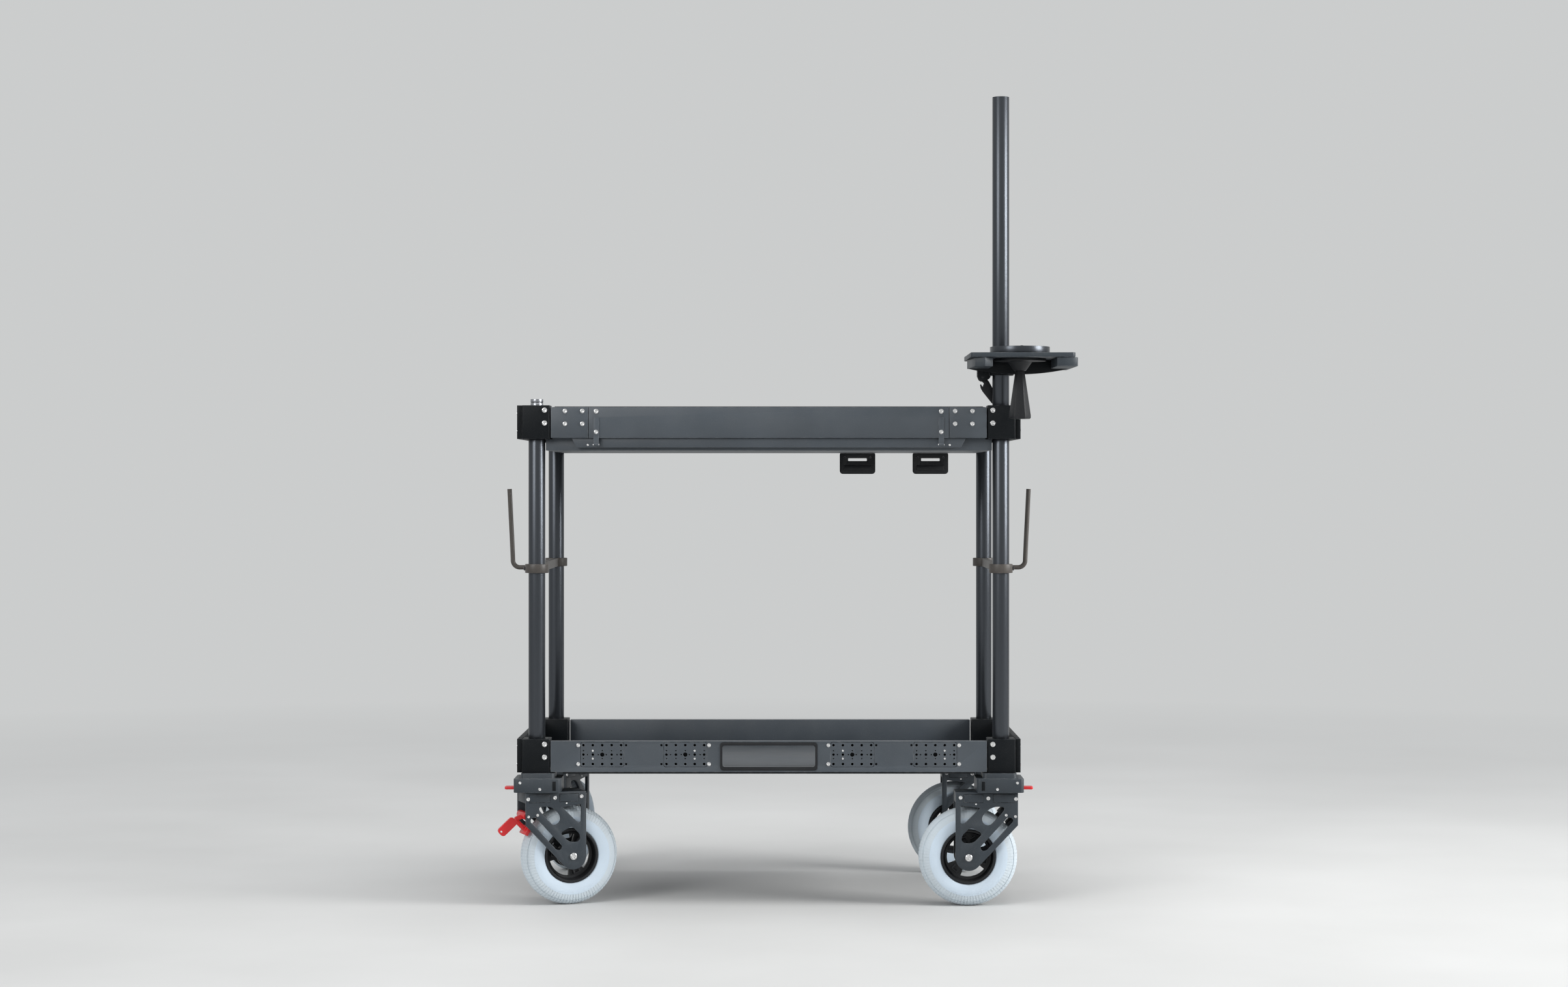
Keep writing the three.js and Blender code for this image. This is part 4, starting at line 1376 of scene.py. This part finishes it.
@dataclass
class WebbingLoops:
    """The two strap loops under the back of the upper deck."""

    places: dict[str, float] = field(default_factory=lambda: {"inner": 192.0, "outer": 352.0})
    rounding: float = 1.4
    back_face: float = 232.2
    lip_half: float = 30.0
    lip_depths: tuple[float, float] = (-2.6, 0.4)
    lip_rises: tuple[float, float] = (601.0, 612.0)
    screw: tuple[float, float] = (28.0, 630.0)

    def build(self) -> None:
        """Build both loops with their clamp bars and screws."""
        near, far = (self.back_face + depth for depth in self.lip_depths)
        low, high = self.lip_rises
        across, rise = self.screw
        for label, x in self.places.items():
            node = f"webbing_loop_{label}"
            dress_node(node, self.rounding, Finish.PLASTIC)
            bar = cuboid((x - self.lip_half, near, low), (x + self.lip_half, far, high), 1.0)
            dress(bar, f"{node}_lip", "chassis", Finish.PLASTIC)
            fasten(f"{node}_screws", "chassis", Screw.LOOP, FRONT, [
                (x + side * across, self.back_face, rise) for side in (-1, 1)])


@dataclass
class CameraPlatform:
    """The platform on the mast: plate, bowl ring, collar, cam lever and tie-down."""

    mast: tuple[float, float] = (POST_X, -POST_Y)
    bowl: tuple[float, float] = (501.0, -345.0)
    throat: float = 45.0
    top: float = 830.0
    under: float = 821.0
    bounds: tuple[float, float, float, float] = (398.0, 604.0, -430.0, -212.0)
    corner: float = 5.0
    notch: float = 22.0
    cutter: tuple[float, float] = (780.0, 860.0)
    rail_low: float = 803.0
    seat_gap: float = 0.4
    yoke_face: tuple[float, float] = (-290.9, -276.9)
    yoke_ends: tuple[float, float] = (401.0, 606.0)
    yoke_low: float = 792.0
    yoke_bow: float = 11.5
    yoke_steps: int = 24
    plate_screws: tuple[tuple[float, float], tuple[float, float]] = ((412.0, 592.0), (-390.0, -300.0))
    ring_profile: Outline = field(default_factory=lambda: [
        (45, 0.3), (58.6, 0.3), (58.6, 1.4), (59.5, 1.9), (59.5, 14.3), (52, 14.3), (45, 7.3)])
    ring_screws: tuple[float, float] = (55.6, 14.2)
    ring_screw_turns: tuple[float, ...] = (0.5, 2.6, 4.7)
    cone_profile: Outline = field(default_factory=lambda: [
        (0, 820.7), (52, 820.7), (52, 815.4), (25, 814.7), (12, 796.7), (0, 796.7)])
    grip_foot: float = 700.7
    grip_shoulder: float = 708.0
    grip_top: float = 796.7
    grip_radius: float = 22.0
    grip_turn: float = 24.0
    grip_foot_taper: tuple[float, float] = (1.8, 0.9)
    neck_radius: float = 9.3
    end_screw_rise: float = 701.2
    collar: tuple[float, float] = (17.3, 26.0)
    clamp_low: float = 790.7
    clamp_top: float = 820.7
    ear_inner: float = 21.0
    ear_reach: float = 48.0
    ear_drop: float = 9.0
    ear_half: float = 10.5
    ear_corner: float = 9.0
    ear_slot: float = 1.5
    slot_inner: float = 19.0
    clamp_screw: tuple[float, float] = (37.0, 808.0)
    pivot: tuple[float, float] = (433.0, 787.7)
    cam_radius: float = 8.5
    pin: tuple[float, float] = (3.0, 10.6)
    pin_past: float = 0.4
    lever_near: float = 18.5
    lever_thickness: float = 6.0
    blade: Outline = field(default_factory=lambda: [
        (-3.9, -14.5), (-2.2, -22), (1.5, -28.5), (20, -52), (27, -57), (35, -57), (37, -51), (30, -40),
        (22, -22), (15, -9), (9, -1), (-2, 3), (-4, -4), (4.2, -12), (1.5, -19), (-1.6, -13.6)])

    def noses(self) -> dict[str, Outline]:
        """Return the side rails' outlines in XY, each with its faceted nose at the front.

        Returns:
            The outline of the left and of the right rail.
        """
        left, right, front, back = self.bounds
        near = self.yoke_face[1]
        return {
            "left": [
                (left + 2, near), (left + 9, front + 8), (left + 28, front + 1), (left + 44, front + 13),
                (left + 44, near)],
            "right": [
                (right - 36, near), (right - 36, front + 3), (right - 8, front + 1), (right + 3, front + 6),
                (right + 5.5, front + 14), (right + 3, back - 4), (right - 28, back - 4)],
        }

    def plate(self) -> None:
        """Model the plate with its mast notch and throat, the two nosed side rails and the bowed yoke."""
        left, right, front, back = self.bounds
        corner, notch = self.corner, self.notch
        low, high = self.cutter
        x, y = self.mast
        body = prism([
            (left + corner, front), (right - corner, front), (right, front + corner), (right, back - corner),
            (right - corner, back), (left + corner, back), (left, back - corner), (left, front + corner)],
            self.under, self.top)
        cut(
            body, rod(notch, (x, y, low), high - low, width=0),
            cuboid((x - notch, y, low), (x + notch, back + 2 * OVERRUN, high), 0),
            rod(self.throat, (*self.bowl, low), high - low, Axis.Z, FINE_ROUND, 0))
        bevel(body, 0.9)
        dress(body, "camera_platform_plate", "platform", Finish.CHARCOAL, ("camera_platform",))
        for label, outline in self.noses().items():
            rail = bevel(prism(outline, self.rail_low, self.under - self.seat_gap), 0.8)
            dress(rail, f"platform_rail_{label}", "platform", Finish.CHARCOAL)
        dress(self.yoke(), "platform_yoke", "platform", Finish.BLOCK)
        across, along = self.plate_screws
        fasten("platform_plate_screws", "platform", Screw.PLATFORM, UP, [
            (x, y, self.top) for x in across for y in along])

    def yoke(self) -> bpy.types.Object:
        """Return the cross beam under the plate, whose lower edge bows down to its middle.

        Returns:
            The cross beam.
        """
        left, right = self.yoke_ends
        middle, high = (left + right) / 2, self.under - self.seat_gap
        lower = []
        for index in range(self.yoke_steps + 1):
            x = left + (right - left) * index / self.yoke_steps
            rise = ((x - middle) / (right - middle)) ** 2
            lower.append((x, self.yoke_low + self.yoke_bow * rise))
        return bevel(prism([*lower, (right, high), (left, high)], *self.yoke_face, upright=True), 1.0)

    def ring(self) -> None:
        """Turn the bowl ring with its inner slope and a shadow line at its foot."""
        ring = turned(self.ring_profile, (*self.bowl, self.top), Axis.Z, FINE_ROUND, 0.7)
        dress(ring, "bowl_ring_body", "platform", Finish.TUBE, ("bowl_ring",))
        x, y = self.bowl
        radius, rise = self.ring_screws
        fasten("bowl_ring_screws", "platform", Screw.RING, UP, [
            (x + radius * math.cos(turn), y + radius * math.sin(turn), self.top + rise)
            for turn in self.ring_screw_turns])

    def tie_down(self) -> None:
        """Turn the washer and cone, and the six-sided tapered grip."""
        cone = turned(self.cone_profile, (*self.bowl, 0), width=0.8)
        deselect()
        bpy.ops.mesh.primitive_cone_add(
            vertices=6, radius1=self.grip_radius * MM, radius2=self.neck_radius * MM,
            depth=(self.grip_top - self.grip_shoulder) * MM)
        grip = bpy.context.object
        middle = mm(*self.bowl, (self.grip_top + self.grip_shoulder) / 2)
        grip.matrix_world = Matrix.Translation(middle) @ turn_z(self.grip_turn)
        settle(grip)
        pick_faces(grip, lambda centre, normal: normal.z < -0.9)
        taper, share = self.grip_foot_taper
        extrude_faces(0, 0, taper + self.grip_foot - self.grip_shoulder)
        extrude_faces(0, 0, -taper)
        bpy.ops.transform.resize(value=(share, share, 1), center_override=mm(*self.bowl, self.grip_foot))
        leave_edit()
        bevel(grip, 0.8, 3, 15)
        dress(joined([cone, grip]), "tie_down_grip", "tie_down", Finish.PLASTIC, ("tie_down_handle",))
        fasten("tie_down_end_screw", "tie_down", Screw.GRIP, DOWN, [(*self.bowl, self.end_screw_rise)])

    def clamp(self) -> None:
        """Model the split collar with its rounded ear, and add its clamp screw."""
        x, y = self.mast
        low, high = self.clamp_low, self.clamp_top
        collar = tube(*self.collar, low, high, self.mast, FINE_ROUND)
        far, ear_low = x - self.ear_reach, low - self.ear_drop
        ear = cuboid((far, y - self.ear_half, ear_low), (x - self.ear_inner, y + self.ear_half, high), 0)
        round_edges(ear, self.ear_corner)
        cut(ear, cuboid(
            (far - OVERRUN, y - self.ear_slot, ear_low - OVERRUN),
            (x - self.slot_inner, y + self.ear_slot, high + OVERRUN), 0))
        bevel(ear, 1.0)
        dress(joined([collar, ear]), "mast_clamp_body", "platform", Finish.BLOCK, ("mast_clamp",))
        reach, rise = self.clamp_screw
        fasten("mast_clamp_screw", "platform", Screw.CLAMP, FRONT, [(x - reach, y - self.ear_half, rise)])

    def lever(self) -> None:
        """Model the cam lever: a round cam, a blade with a hooked tip and its pin."""
        x, z = self.pivot
        y = self.mast[1]
        near, far = y + self.lever_near, y + self.lever_near + self.lever_thickness
        cam = rod(self.cam_radius, (x, near, z), self.lever_thickness, Axis.Y, ROUND, 0.8)
        radius, before = self.pin
        pin = rod(radius, (x, y - before, z), far - y + before + self.pin_past, Axis.Y, SMALL_ROUND, 0.4)
        blade = prism([(x + across, z + up) for across, up in self.blade], near, far, upright=True)
        bevel(blade, 1.1, 3)
        piece = joined([cam, pin, blade])
        dress(piece, "clamp_lever_body", "clamp_lever", Finish.PLASTIC, ("clamp_lever",))

    def build(self) -> None:
        """Build the platform's pieces."""
        self.plate()
        self.ring()
        self.tie_down()
        self.clamp()
        self.lever()


# Casters, in millimetres


def mirrored(half: Outline) -> Outline:
    """Return a profile made of one half and its mirror image."""
    return [*half, *((radius, -along) for radius, along in reversed(half))]


@dataclass
class Caster:
    """One swivel caster in its own frame: +X is its trail and Z its swivel axis."""

    corner: str
    x: float
    y: float
    turn: float
    spoke_turn: float
    housing_half: float = 47.5
    housing_screws: Outline = field(default_factory=lambda: [(-6, -43), (34, -30)])
    slot_cover: tuple[tuple[float, float], tuple[float, float]] = ((-38.0, -31.0), (-46.0, -27.0))
    trail: float = 63.0
    axle: float = -182.2
    crown_top: float = -50.7
    crown_foot: float = -72.7
    fork_outer: float = 35.0
    fork_gap: float = 29.0
    fork_left: float = -36.2
    fork_shoulder: float = -116.7
    seam_half: float = 0.15
    tab_half: float = 0.5
    tabs: Outline = field(default_factory=lambda: [(34.6, 72.7), (-28.9, 13.5)])
    tab_rises: tuple[float, float] = (-70.5, -55.4)
    seam_border: float = 0.9
    fork_screws: Outline = field(default_factory=lambda: [(79.6, -61), (23.8, -62.3), (-32, -63.5)])
    fork_pins: Outline = field(default_factory=lambda: [(48.4, -74)])
    brake_bars: Outline = field(default_factory=lambda: [(-12.3, -96.2), (-31.1, -98.9)])
    bar_radius: float = 4.5
    sleeve_radius: float = 6.6
    sleeve_ends: Outline = field(default_factory=lambda: [(-27, 27), (-28, -20)])
    brake_blocks: Outline = field(default_factory=lambda: [(-6.6, -91), (-22.4, -113.4)])
    block_half: Point = (5.0, 26.0, 8.0)
    boss: float = 26.5
    boss_steps: int = 40
    bore: float = 6.4
    bore_overrun: float = 3.0
    # More than the windows have room for, so their corners are rounded as far as they can be
    window_corner: float = 1000.0
    window_shares: tuple[tuple[tuple[float, float], ...], ...] = (
        ((0.599, 0.765), (0.867, 0.514), (0.919, 0.514), (0.919, 0.801)),
        ((0.174, 0.782), (0.314, 0.621), (0.482, 0.454), (0.615, 0.594), (0.433, 0.782)),
        ((0.566, 0.368), (0.7, 0.235), (0.8, 0.215), (0.9, 0.23), (0.909, 0.327), (0.762, 0.468)),
        ((0.07, 0.56), (0.146, 0.487), (0.5, 0.115), (0.575, 0.1), (0.61, 0.16), (0.16, 0.625), (0.09, 0.61)),
    )
    axle_radius: float = 6.0
    bolt_gap: float = 0.1
    bolt_head: Outline = field(default_factory=lambda: [
        (0, 0), (7.2, 0), (7.2, 0.9), (6.2, 1.3), (6.2, 3.6), (5.6, 4.2), (2.8, 4.2), (2.8, 1.8), (0, 1.8)])
    rim_half: Outline = field(default_factory=lambda: [
        (6.4, 27), (14, 27), (15, 25.5), (15, 19), (20, 17), (20, 6.5), (33, 4.5), (47, 5), (48.5, 8),
        (49, 19), (50.5, 22), (54.5, 22), (56, 20.5)])
    spokes: int = 3
    slot_radii: tuple[float, float] = (25.5, 42.5)
    slot_half: float = 14.0
    slot_start: float = 36.0
    slot_angle: float = 72.0
    slot_steps: int = 18
    pad_radii: tuple[float, float] = (24.5, 40.5)
    pad_half: float = 7.5
    pad_faces: tuple[float, float] = (4.0, 10.0)
    pad_border: float = 3.0
    pad_sink: float = 4.0
    tyre_half: Outline = field(default_factory=lambda: [
        (56.1, 20), (57.6, 22.4), (60, 23.2), (66, 24.6), (72, 25), (78, 24.6), (79, 24.3), (84, 23.2),
        (89, 21.2), (90.6, 20.2), (90.8, 18.8), (92.2, 17.9), (92.5, 18.7), (93.5, 18), (96.8, 13.6),
        (99, 8.2), (99.5, 7.4), (99.9, 1.2), (99.2, 0.7)])
    tyre_steps: int = 360
    tread_start: float = 81.0
    groove_start: float = 80.5
    groove_middle: float = 1.2
    groove_every: int = 4
    groove_depth: float = 0.55

    def place(self) -> Matrix:
        """Return the matrix from the caster's frame to the cart's."""
        return Matrix.Translation(mm(self.x, self.y, 0)) @ turn_z(self.turn)

    def put(
        self, piece: bpy.types.Object, label: str, group: str, finish: Finish, replaces: str = "",
    ) -> None:
        """Move a piece from the caster's frame to its place and dress it.

        Args:
            piece: The piece.
            label: Its name without the corner.
            group: The body that it rides on, without the corner.
            finish: Its finish.
            replaces: The CAD node that it stands for, without the corner.
        """
        piece.matrix_world = self.place()
        settle(piece)
        nodes = (f"{replaces}_{self.corner}",) if replaces else ()
        dress(piece, f"{label}_{self.corner}", f"{group}_{self.corner}", finish, nodes)

    def housing(self) -> None:
        """Copy the swivel housing, and add its slot covers, screws and lock lever."""
        outward = -1 if "left" in self.corner else 1
        dress_node(f"caster_housing_{self.corner}", 1.0, Finish.CHARCOAL)
        (near, far), (low, high) = self.slot_cover
        for side, label in FRONT_AND_REAR:
            face = self.y + side * self.housing_half
            fasten(f"housing_screws_{label}_{self.corner}", "chassis", Screw.HOUSING, (0, side, 0), [
                (self.x + outward * across, face, rise) for across, rise in self.housing_screws])
            cover = cuboid(
                (self.x + outward * near, face - 0.5, low), (self.x + outward * far, face + 0.5, high), 0.3)
            dress(cover, f"housing_slot_cover_{label}_{self.corner}", "chassis", Finish.BLOCK)
        lock = f"swivel_lock_{self.corner}"
        dress_node(lock, 1.4, Finish.RED, f"lock_{self.corner}", f"{lock}_lever")

    def fork_outline(self) -> Outline:
        """Return a side plate's outline: straight ends, a slant and an arc round the axle.

        Returns:
            The outline in XZ.
        """
        left, shoulder = self.fork_left, self.fork_shoulder
        across, up = self.trail - left, self.axle - shoulder
        slant = math.atan2(up, across) - math.asin(self.boss / math.hypot(across, up))
        arc = []
        for index in range(self.boss_steps + 1):
            angle = (slant - math.pi / 2) * (1 - index / self.boss_steps)
            arc.append((self.trail + self.boss * math.cos(angle), self.axle + self.boss * math.sin(angle)))
        return [(left, self.crown_top), (left, shoulder), *arc, (self.trail + self.boss, self.crown_top)]

    def fork_side(self) -> bpy.types.Object:
        """Model one side plate with its rounded windows and the axle's bore.

        Returns:
            The plate on the side towards -Y.
        """
        low, high = -self.fork_outer, -self.fork_gap
        side = prism(self.fork_outline(), low, high, upright=True)
        width = self.trail + self.boss - self.fork_left
        height = self.crown_top - self.axle
        low, high = low - self.bore_overrun, high + self.bore_overrun
        for shares in self.window_shares:
            window = [(self.fork_left + across * width, self.axle + up * height) for across, up in shares]
            cut(side, prism(window, low, high, self.window_corner, upright=True))
        cut(side, rod(self.bore, (self.trail, low, self.axle), high - low, Axis.Y, 32, 0))
        return bevel(side, 0.7)

    def fork(self) -> None:
        """Join two side plates, the crown and the brake bars."""
        left = self.fork_side()
        right = settle(copy_of(left, Matrix.Translation(mm(0, self.fork_outer + self.fork_gap, 0))))
        front = self.trail + self.boss
        crown = cuboid(
            (self.fork_left + 0.3, -self.fork_gap - 0.5, self.crown_foot),
            (front - 0.3, self.fork_gap + 0.5, self.crown_top - 0.1), 1.0)
        parts = [left, right, crown]
        half = self.fork_outer - 0.5
        for x, z in self.brake_bars:
            parts.append(rod(self.bar_radius, (x, -half, z), 2 * half, Axis.Y, SMALL_ROUND, 0.4))
        self.put(joined(parts), "fork_body", "swivel", Finish.CHARCOAL, "caster_fork")

    def fork_fittings(self) -> None:
        """Set the tabs and screws on both side plates."""
        tabs, seams, heads = [], [], []
        foot, head = self.tab_rises
        border = self.seam_border
        for side in (-1, 1):
            face = side * self.fork_outer
            for low, high in self.tabs:
                seams.append(cuboid(
                    (low - border, face - self.seam_half, foot - border),
                    (high + border, face + self.seam_half, head + border), 0))
                tabs.append(cuboid(
                    (low, face - self.tab_half, foot), (high, face + self.tab_half, head), 0.3))
            for screw, places in (
                    (Screw.FORK, self.fork_screws), (Screw.FORK_PIN, self.fork_pins),
                    (Screw.BRAKE_BAR, self.brake_bars)):
                heads.append(screw_heads([(x, face, z) for x, z in places], (0, side, 0), screw))
        self.put(joined(seams), "fork_tab_seams", "swivel", Finish.BLOCK)
        self.put(joined(tabs), "fork_tabs", "swivel", Finish.CHARCOAL)
        self.put(joined(heads), "fork_screws", "swivel", Finish.STEEL)

    def brake(self) -> None:
        """Set the brake blocks between the plates, or the sleeves where the foot brake is."""
        if self.corner == "front_left":
            sleeves = [
                rod(self.sleeve_radius, (x, low, z), high - low, Axis.Y, 32, 0.8)
                for (x, z), (low, high) in zip(self.brake_bars, self.sleeve_ends)]
            self.put(joined(sleeves), "brake_bar_sleeves", "swivel", Finish.SLEEVE)
            return
        blocks = []
        x_half, y_half, z_half = self.block_half
        for x, z in self.brake_blocks:
            block = cuboid((-x_half, -y_half, -z_half), (x_half, y_half, z_half), 0.8)
            block.matrix_world = Matrix.Translation(mm(x, 0, z)) @ Matrix.Rotation(math.radians(-45), 4, "Y")
            blocks.append(settle(block))
        self.put(joined(blocks), "brake_blocks", "swivel", Finish.BLOCK)

    def axle_bolt(self) -> None:
        """Turn a bolt head for each side and join them by the axle."""
        bolt = []
        for side in (-1, 1):
            head = turned(self.bolt_head, sides=32, width=0.3)
            seat = mm(self.trail, side * (self.fork_outer + self.bolt_gap), self.axle)
            head.matrix_world = Matrix.Translation(seat) @ facing((0, side, 0))
            bolt.append(settle(head))
        start = (self.trail, -self.fork_outer, self.axle)
        bolt.append(rod(self.axle_radius, start, 2 * self.fork_outer, Axis.Y, ROUND, 0))
        self.put(joined(bolt), "axle_bolt", "swivel", Finish.STEEL, "axle")

    def rim_slot(self, index: int) -> bpy.types.Object:
        """Return the cutter of one kidney slot: a line spun round the hub and raised.

        Args:
            index: The slot's number.

        Returns:
            The cutter.
        """
        near, far = self.slot_radii
        slot = draw_line([(near, 0, -self.slot_half), (far, 0, -self.slot_half)], closed=False)
        angle = math.radians(self.slot_angle)
        bpy.ops.mesh.spin(steps=self.slot_steps, angle=angle, center=(0, 0, 0), axis=(0, 0, 1))
        edit_all()
        extrude_faces(0, 0, 2 * self.slot_half)
        close_mesh()
        slot.matrix_world = turn_z(360 / self.spokes * index + self.spoke_turn + self.slot_start)
        return settle(slot)

    def spoke_pad(self, index: int, side: int) -> bpy.types.Object:
        """Model the sunk pad on one side of a spoke.

        Args:
            index: The spoke's number.
            side: -1 or 1 for the rim's lower or upper side.

        Returns:
            The pad.
        """
        near, far = self.pad_radii
        low, high = self.pad_faces
        pad = cuboid((near, -self.pad_half, side * low), (far, self.pad_half, side * high), 0)
        pick_faces(pad, lambda centre, normal: normal.z * side > 0.9)
        bpy.ops.mesh.inset(thickness=self.pad_border * MM)
        extrude_faces(0, 0, -side * self.pad_sink)
        leave_edit()
        bevel(pad, 0.7)
        pad.matrix_world = turn_z(360 / self.spokes * (index + 0.5) + self.spoke_turn)
        return settle(pad)

    def mount_wheel(self, piece: bpy.types.Object) -> bpy.types.Object:
        """Turn a piece made about Z onto the axle."""
        piece.matrix_world = Matrix.Translation(mm(self.trail, 0, self.axle)) @ facing((0, 1, 0))
        return settle(piece)

    def rim(self) -> None:
        """Turn the rim with its lips, cut three kidney slots and raise a pad on each spoke."""
        rim = turned(mirrored(self.rim_half), sides=FINE_ROUND, width=0.5)
        for index in range(self.spokes):
            cut(rim, self.rim_slot(index))
        bevel(rim, 0.5)
        pads = [self.spoke_pad(index, side) for index in range(self.spokes) for side in (-1, 1)]
        wheel = self.mount_wheel(joined([rim, *pads]))
        self.put(wheel, "wheel_rim_body", "wheel", Finish.PLASTIC, "wheel_rim")

    def in_groove(self, centre: Vector, normal: Vector) -> bool:
        """Tell whether a face of the tyre lies in one of the cross grooves of its tread.

        Args:
            centre: The face's centre.
            normal: Its normal, which makes no difference.

        Returns:
            Whether it lies in a groove.
        """
        step = 2 * math.pi / self.tyre_steps
        spot = int(math.atan2(centre.y, centre.x) / step + self.tyre_steps) % self.tyre_steps
        outside = math.hypot(centre.x, centre.y) > self.groove_start * MM
        return spot % self.groove_every == 0 and outside and abs(centre.z) > self.groove_middle * MM

    def tyre(self) -> None:
        """Turn the tyre, sink its tread grooves and set it on the rim."""
        tyre = turned(mirrored(self.tyre_half), sides=self.tyre_steps)
        pick_faces(tyre, self.in_groove)
        sink = {"value": -self.groove_depth * MM}
        bpy.ops.mesh.extrude_region_shrink_fatten(TRANSFORM_OT_shrink_fatten=sink)
        leave_edit()
        self.mount_wheel(smooth(tyre, 35))
        self.put(tyre, "tyre_body", "wheel", Finish.TYRE, "tyre")
        hub = self.place() @ Vector(mm(self.trail, 0, self.axle))
        along = self.place().to_3x3() @ Vector((0, 1, 0))
        start = self.tread_start * MM
        tint_faces(tyre, Finish.TREAD, lambda centre: (centre - hub).cross(along).length > start)

    def build(self) -> None:
        """Build the caster's pieces."""
        self.housing()
        self.fork()
        self.fork_fittings()
        self.brake()
        self.axle_bolt()
        self.rim()
        self.tyre()


def brake_pedal() -> None:
    """Copy the foot brake's lever with soft edges, and drill the hole near the tongue's tip."""
    piece = shell("brake_pedal", 1.5)
    low, high = ([part / MM for part in corner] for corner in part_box("brake_pedal"))
    inset, rise, radius = 7.5, 9.0, 2.1
    start = (low[0] + inset, low[1] - OVERRUN, low[2] + rise)
    cut(piece, rod(radius, start, high[1] - low[1] + 2 * OVERRUN, Axis.Y, SMALL_ROUND, 0))
    dress(piece, "brake_pedal_lever", "brake", Finish.RED, ("brake_pedal",))


# Studio


@dataclass
class Studio:
    """A pale floor, soft light from large panels, and the camera at the photograph's angle, in metres."""

    floor: float = -0.282
    floor_size: float = 40.0
    floor_fade: tuple[float, float] = (1.0, 5.5)
    floor_shades: tuple[Shade, Shade] = ((0.5, 0.5, 0.49, 1.0), (0.56, 0.56, 0.55, 1.0))
    backdrop_colour: Shade = (0.6, 0.61, 0.61, 1.0)
    sky_shades: tuple[Shade, Shade] = ((0.22, 0.225, 0.23, 1.0), (0.8, 0.82, 0.85, 1.0))
    eye: Point = (0.0307, -6.111, 0.569)
    lens: float = 66.4
    shift: tuple[float, float] = (0.0, -0.0054)

    def mirrored_or_seen(self, net: Net) -> Socket:
        """Return 1 for rays that reach the backdrop from the camera, from gloss or through glass.

        Args:
            net: The writer of the nodes.

        Returns:
            The output that is 1 or 0.
        """
        paths = net.node("ShaderNodeLightPath").outputs
        seen = net.maths("MAXIMUM", paths["Is Camera Ray"], paths["Is Glossy Ray"])
        return net.maths("MAXIMUM", seen, paths["Is Transmission Ray"])

    def backdrop(self) -> None:
        """Lay the floor, which takes on the backdrop's colour further away."""
        deselect()
        bpy.ops.mesh.primitive_plane_add(size=1)
        floor = bpy.context.object
        floor.scale = (self.floor_size, self.floor_size, 1)
        floor.location = (0, 0, self.floor)
        settle(floor)
        floor.name = "studio_floor"
        made = bpy.data.materials.new("pale floor")
        net = empty_tree(made)
        where = net.node("ShaderNodeTexCoord").outputs["Object"]
        mottle = net.between(net.noise(where, 1.3, 6.0), 0.3, 0.7)
        colour = net.mix(mottle, *self.floor_shades)
        lit = net.node("ShaderNodeBsdfPrincipled", None, Base_Color=colour, Roughness=0.75)
        away = net.node("ShaderNodeVectorMath", {"operation": "LENGTH"}, Vector=where)
        far = net.between(away.outputs["Value"], *self.floor_fade)
        haze = net.node("ShaderNodeEmission", None, Color=self.backdrop_colour, Strength=1.0)
        seen = net.maths("MULTIPLY", far, self.mirrored_or_seen(net))
        both = net.node("ShaderNodeMixShader", None, Fac=seen)
        net.feed(both.inputs[1], lit.outputs[0])
        net.feed(both.inputs[2], haze.outputs[0])
        out = net.node("ShaderNodeOutputMaterial")
        net.feed(out.inputs["Surface"], both.outputs[0])
        floor.data.materials.append(made)

    def lamp(self, name: str, place: Point, aim: Point, size: float, power: float) -> None:
        """Hang one square light panel that faces a point.

        Args:
            name: The panel's name.
            place: Where it hangs.
            aim: The point that it faces.
            size: The length of its side.
            power: Its power in watts.
        """
        deselect()
        bpy.ops.object.light_add(type="AREA", location=place)
        lamp = bpy.context.object
        lamp.name = name
        lamp.data.size = size
        lamp.data.energy = power
        lamp.rotation_euler = (Vector(aim) - Vector(place)).to_track_quat("-Z", "Y").to_euler()

    def lights(self) -> None:
        """Set the panels and the world."""
        self.lamp("panel_left", (-3.6, -4.6, 2.6), (0, 0, 0.3), 2.4, 130)
        self.lamp("panel_right", (4.2, -1.4, 1.8), (0, 0, 0.4), 1.8, 185)
        self.lamp("panel_top", (0.0, -0.6, 4.4), (0, 0, 0.2), 3.0, 95)
        world = bpy.data.worlds.new("pale world")
        bpy.context.scene.world = world
        net = empty_tree(world)
        where = net.node("ShaderNodeTexCoord").outputs["Generated"]
        up = net.node("ShaderNodeSeparateXYZ", None, Vector=where)
        sky = net.mix(net.between(up.outputs["Z"], -0.1, 0.9), *self.sky_shades)
        sky = net.mix(self.mirrored_or_seen(net), sky, self.backdrop_colour)
        background = net.node("ShaderNodeBackground", None, Strength=1.0, Color=sky)
        out = net.node("ShaderNodeOutputWorld")
        net.feed(out.inputs["Surface"], background.outputs[0])
        bpy.context.scene.view_settings.view_transform = "Standard"

    def camera(self) -> None:
        """Set the camera at the photograph's angle."""
        deselect()
        bpy.ops.object.camera_add(location=self.eye, rotation=(math.radians(90), 0, 0))
        camera = bpy.context.object
        camera.data.sensor_width = 36
        camera.data.lens = self.lens
        camera.data.shift_x, camera.data.shift_y = self.shift
        camera.data.clip_end = 100
        bpy.context.scene.camera = camera

    def build(self) -> None:
        """Build the studio."""
        self.backdrop()
        self.lights()
        self.camera()


def main() -> None:
    """Build the studio, then the cart's pieces in order."""
    Studio().build()
    DeckFrame().build()
    DropFront().build()
    Uprights().build()
    SideHooks().build()
    WebbingLoops().build()
    CameraPlatform().build()
    casters = (
        Caster("front_left", -466, -250, turn=20, spoke_turn=8),
        Caster("front_right", 466, -250, turn=180, spoke_turn=-15),
        Caster("rear_left", -466, 250, turn=70, spoke_turn=30),
        Caster("rear_right", 466, 250, turn=180, spoke_turn=-40))
    for caster in casters:
        caster.build()
    brake_pedal()


if __name__ == "__main__":
    main()
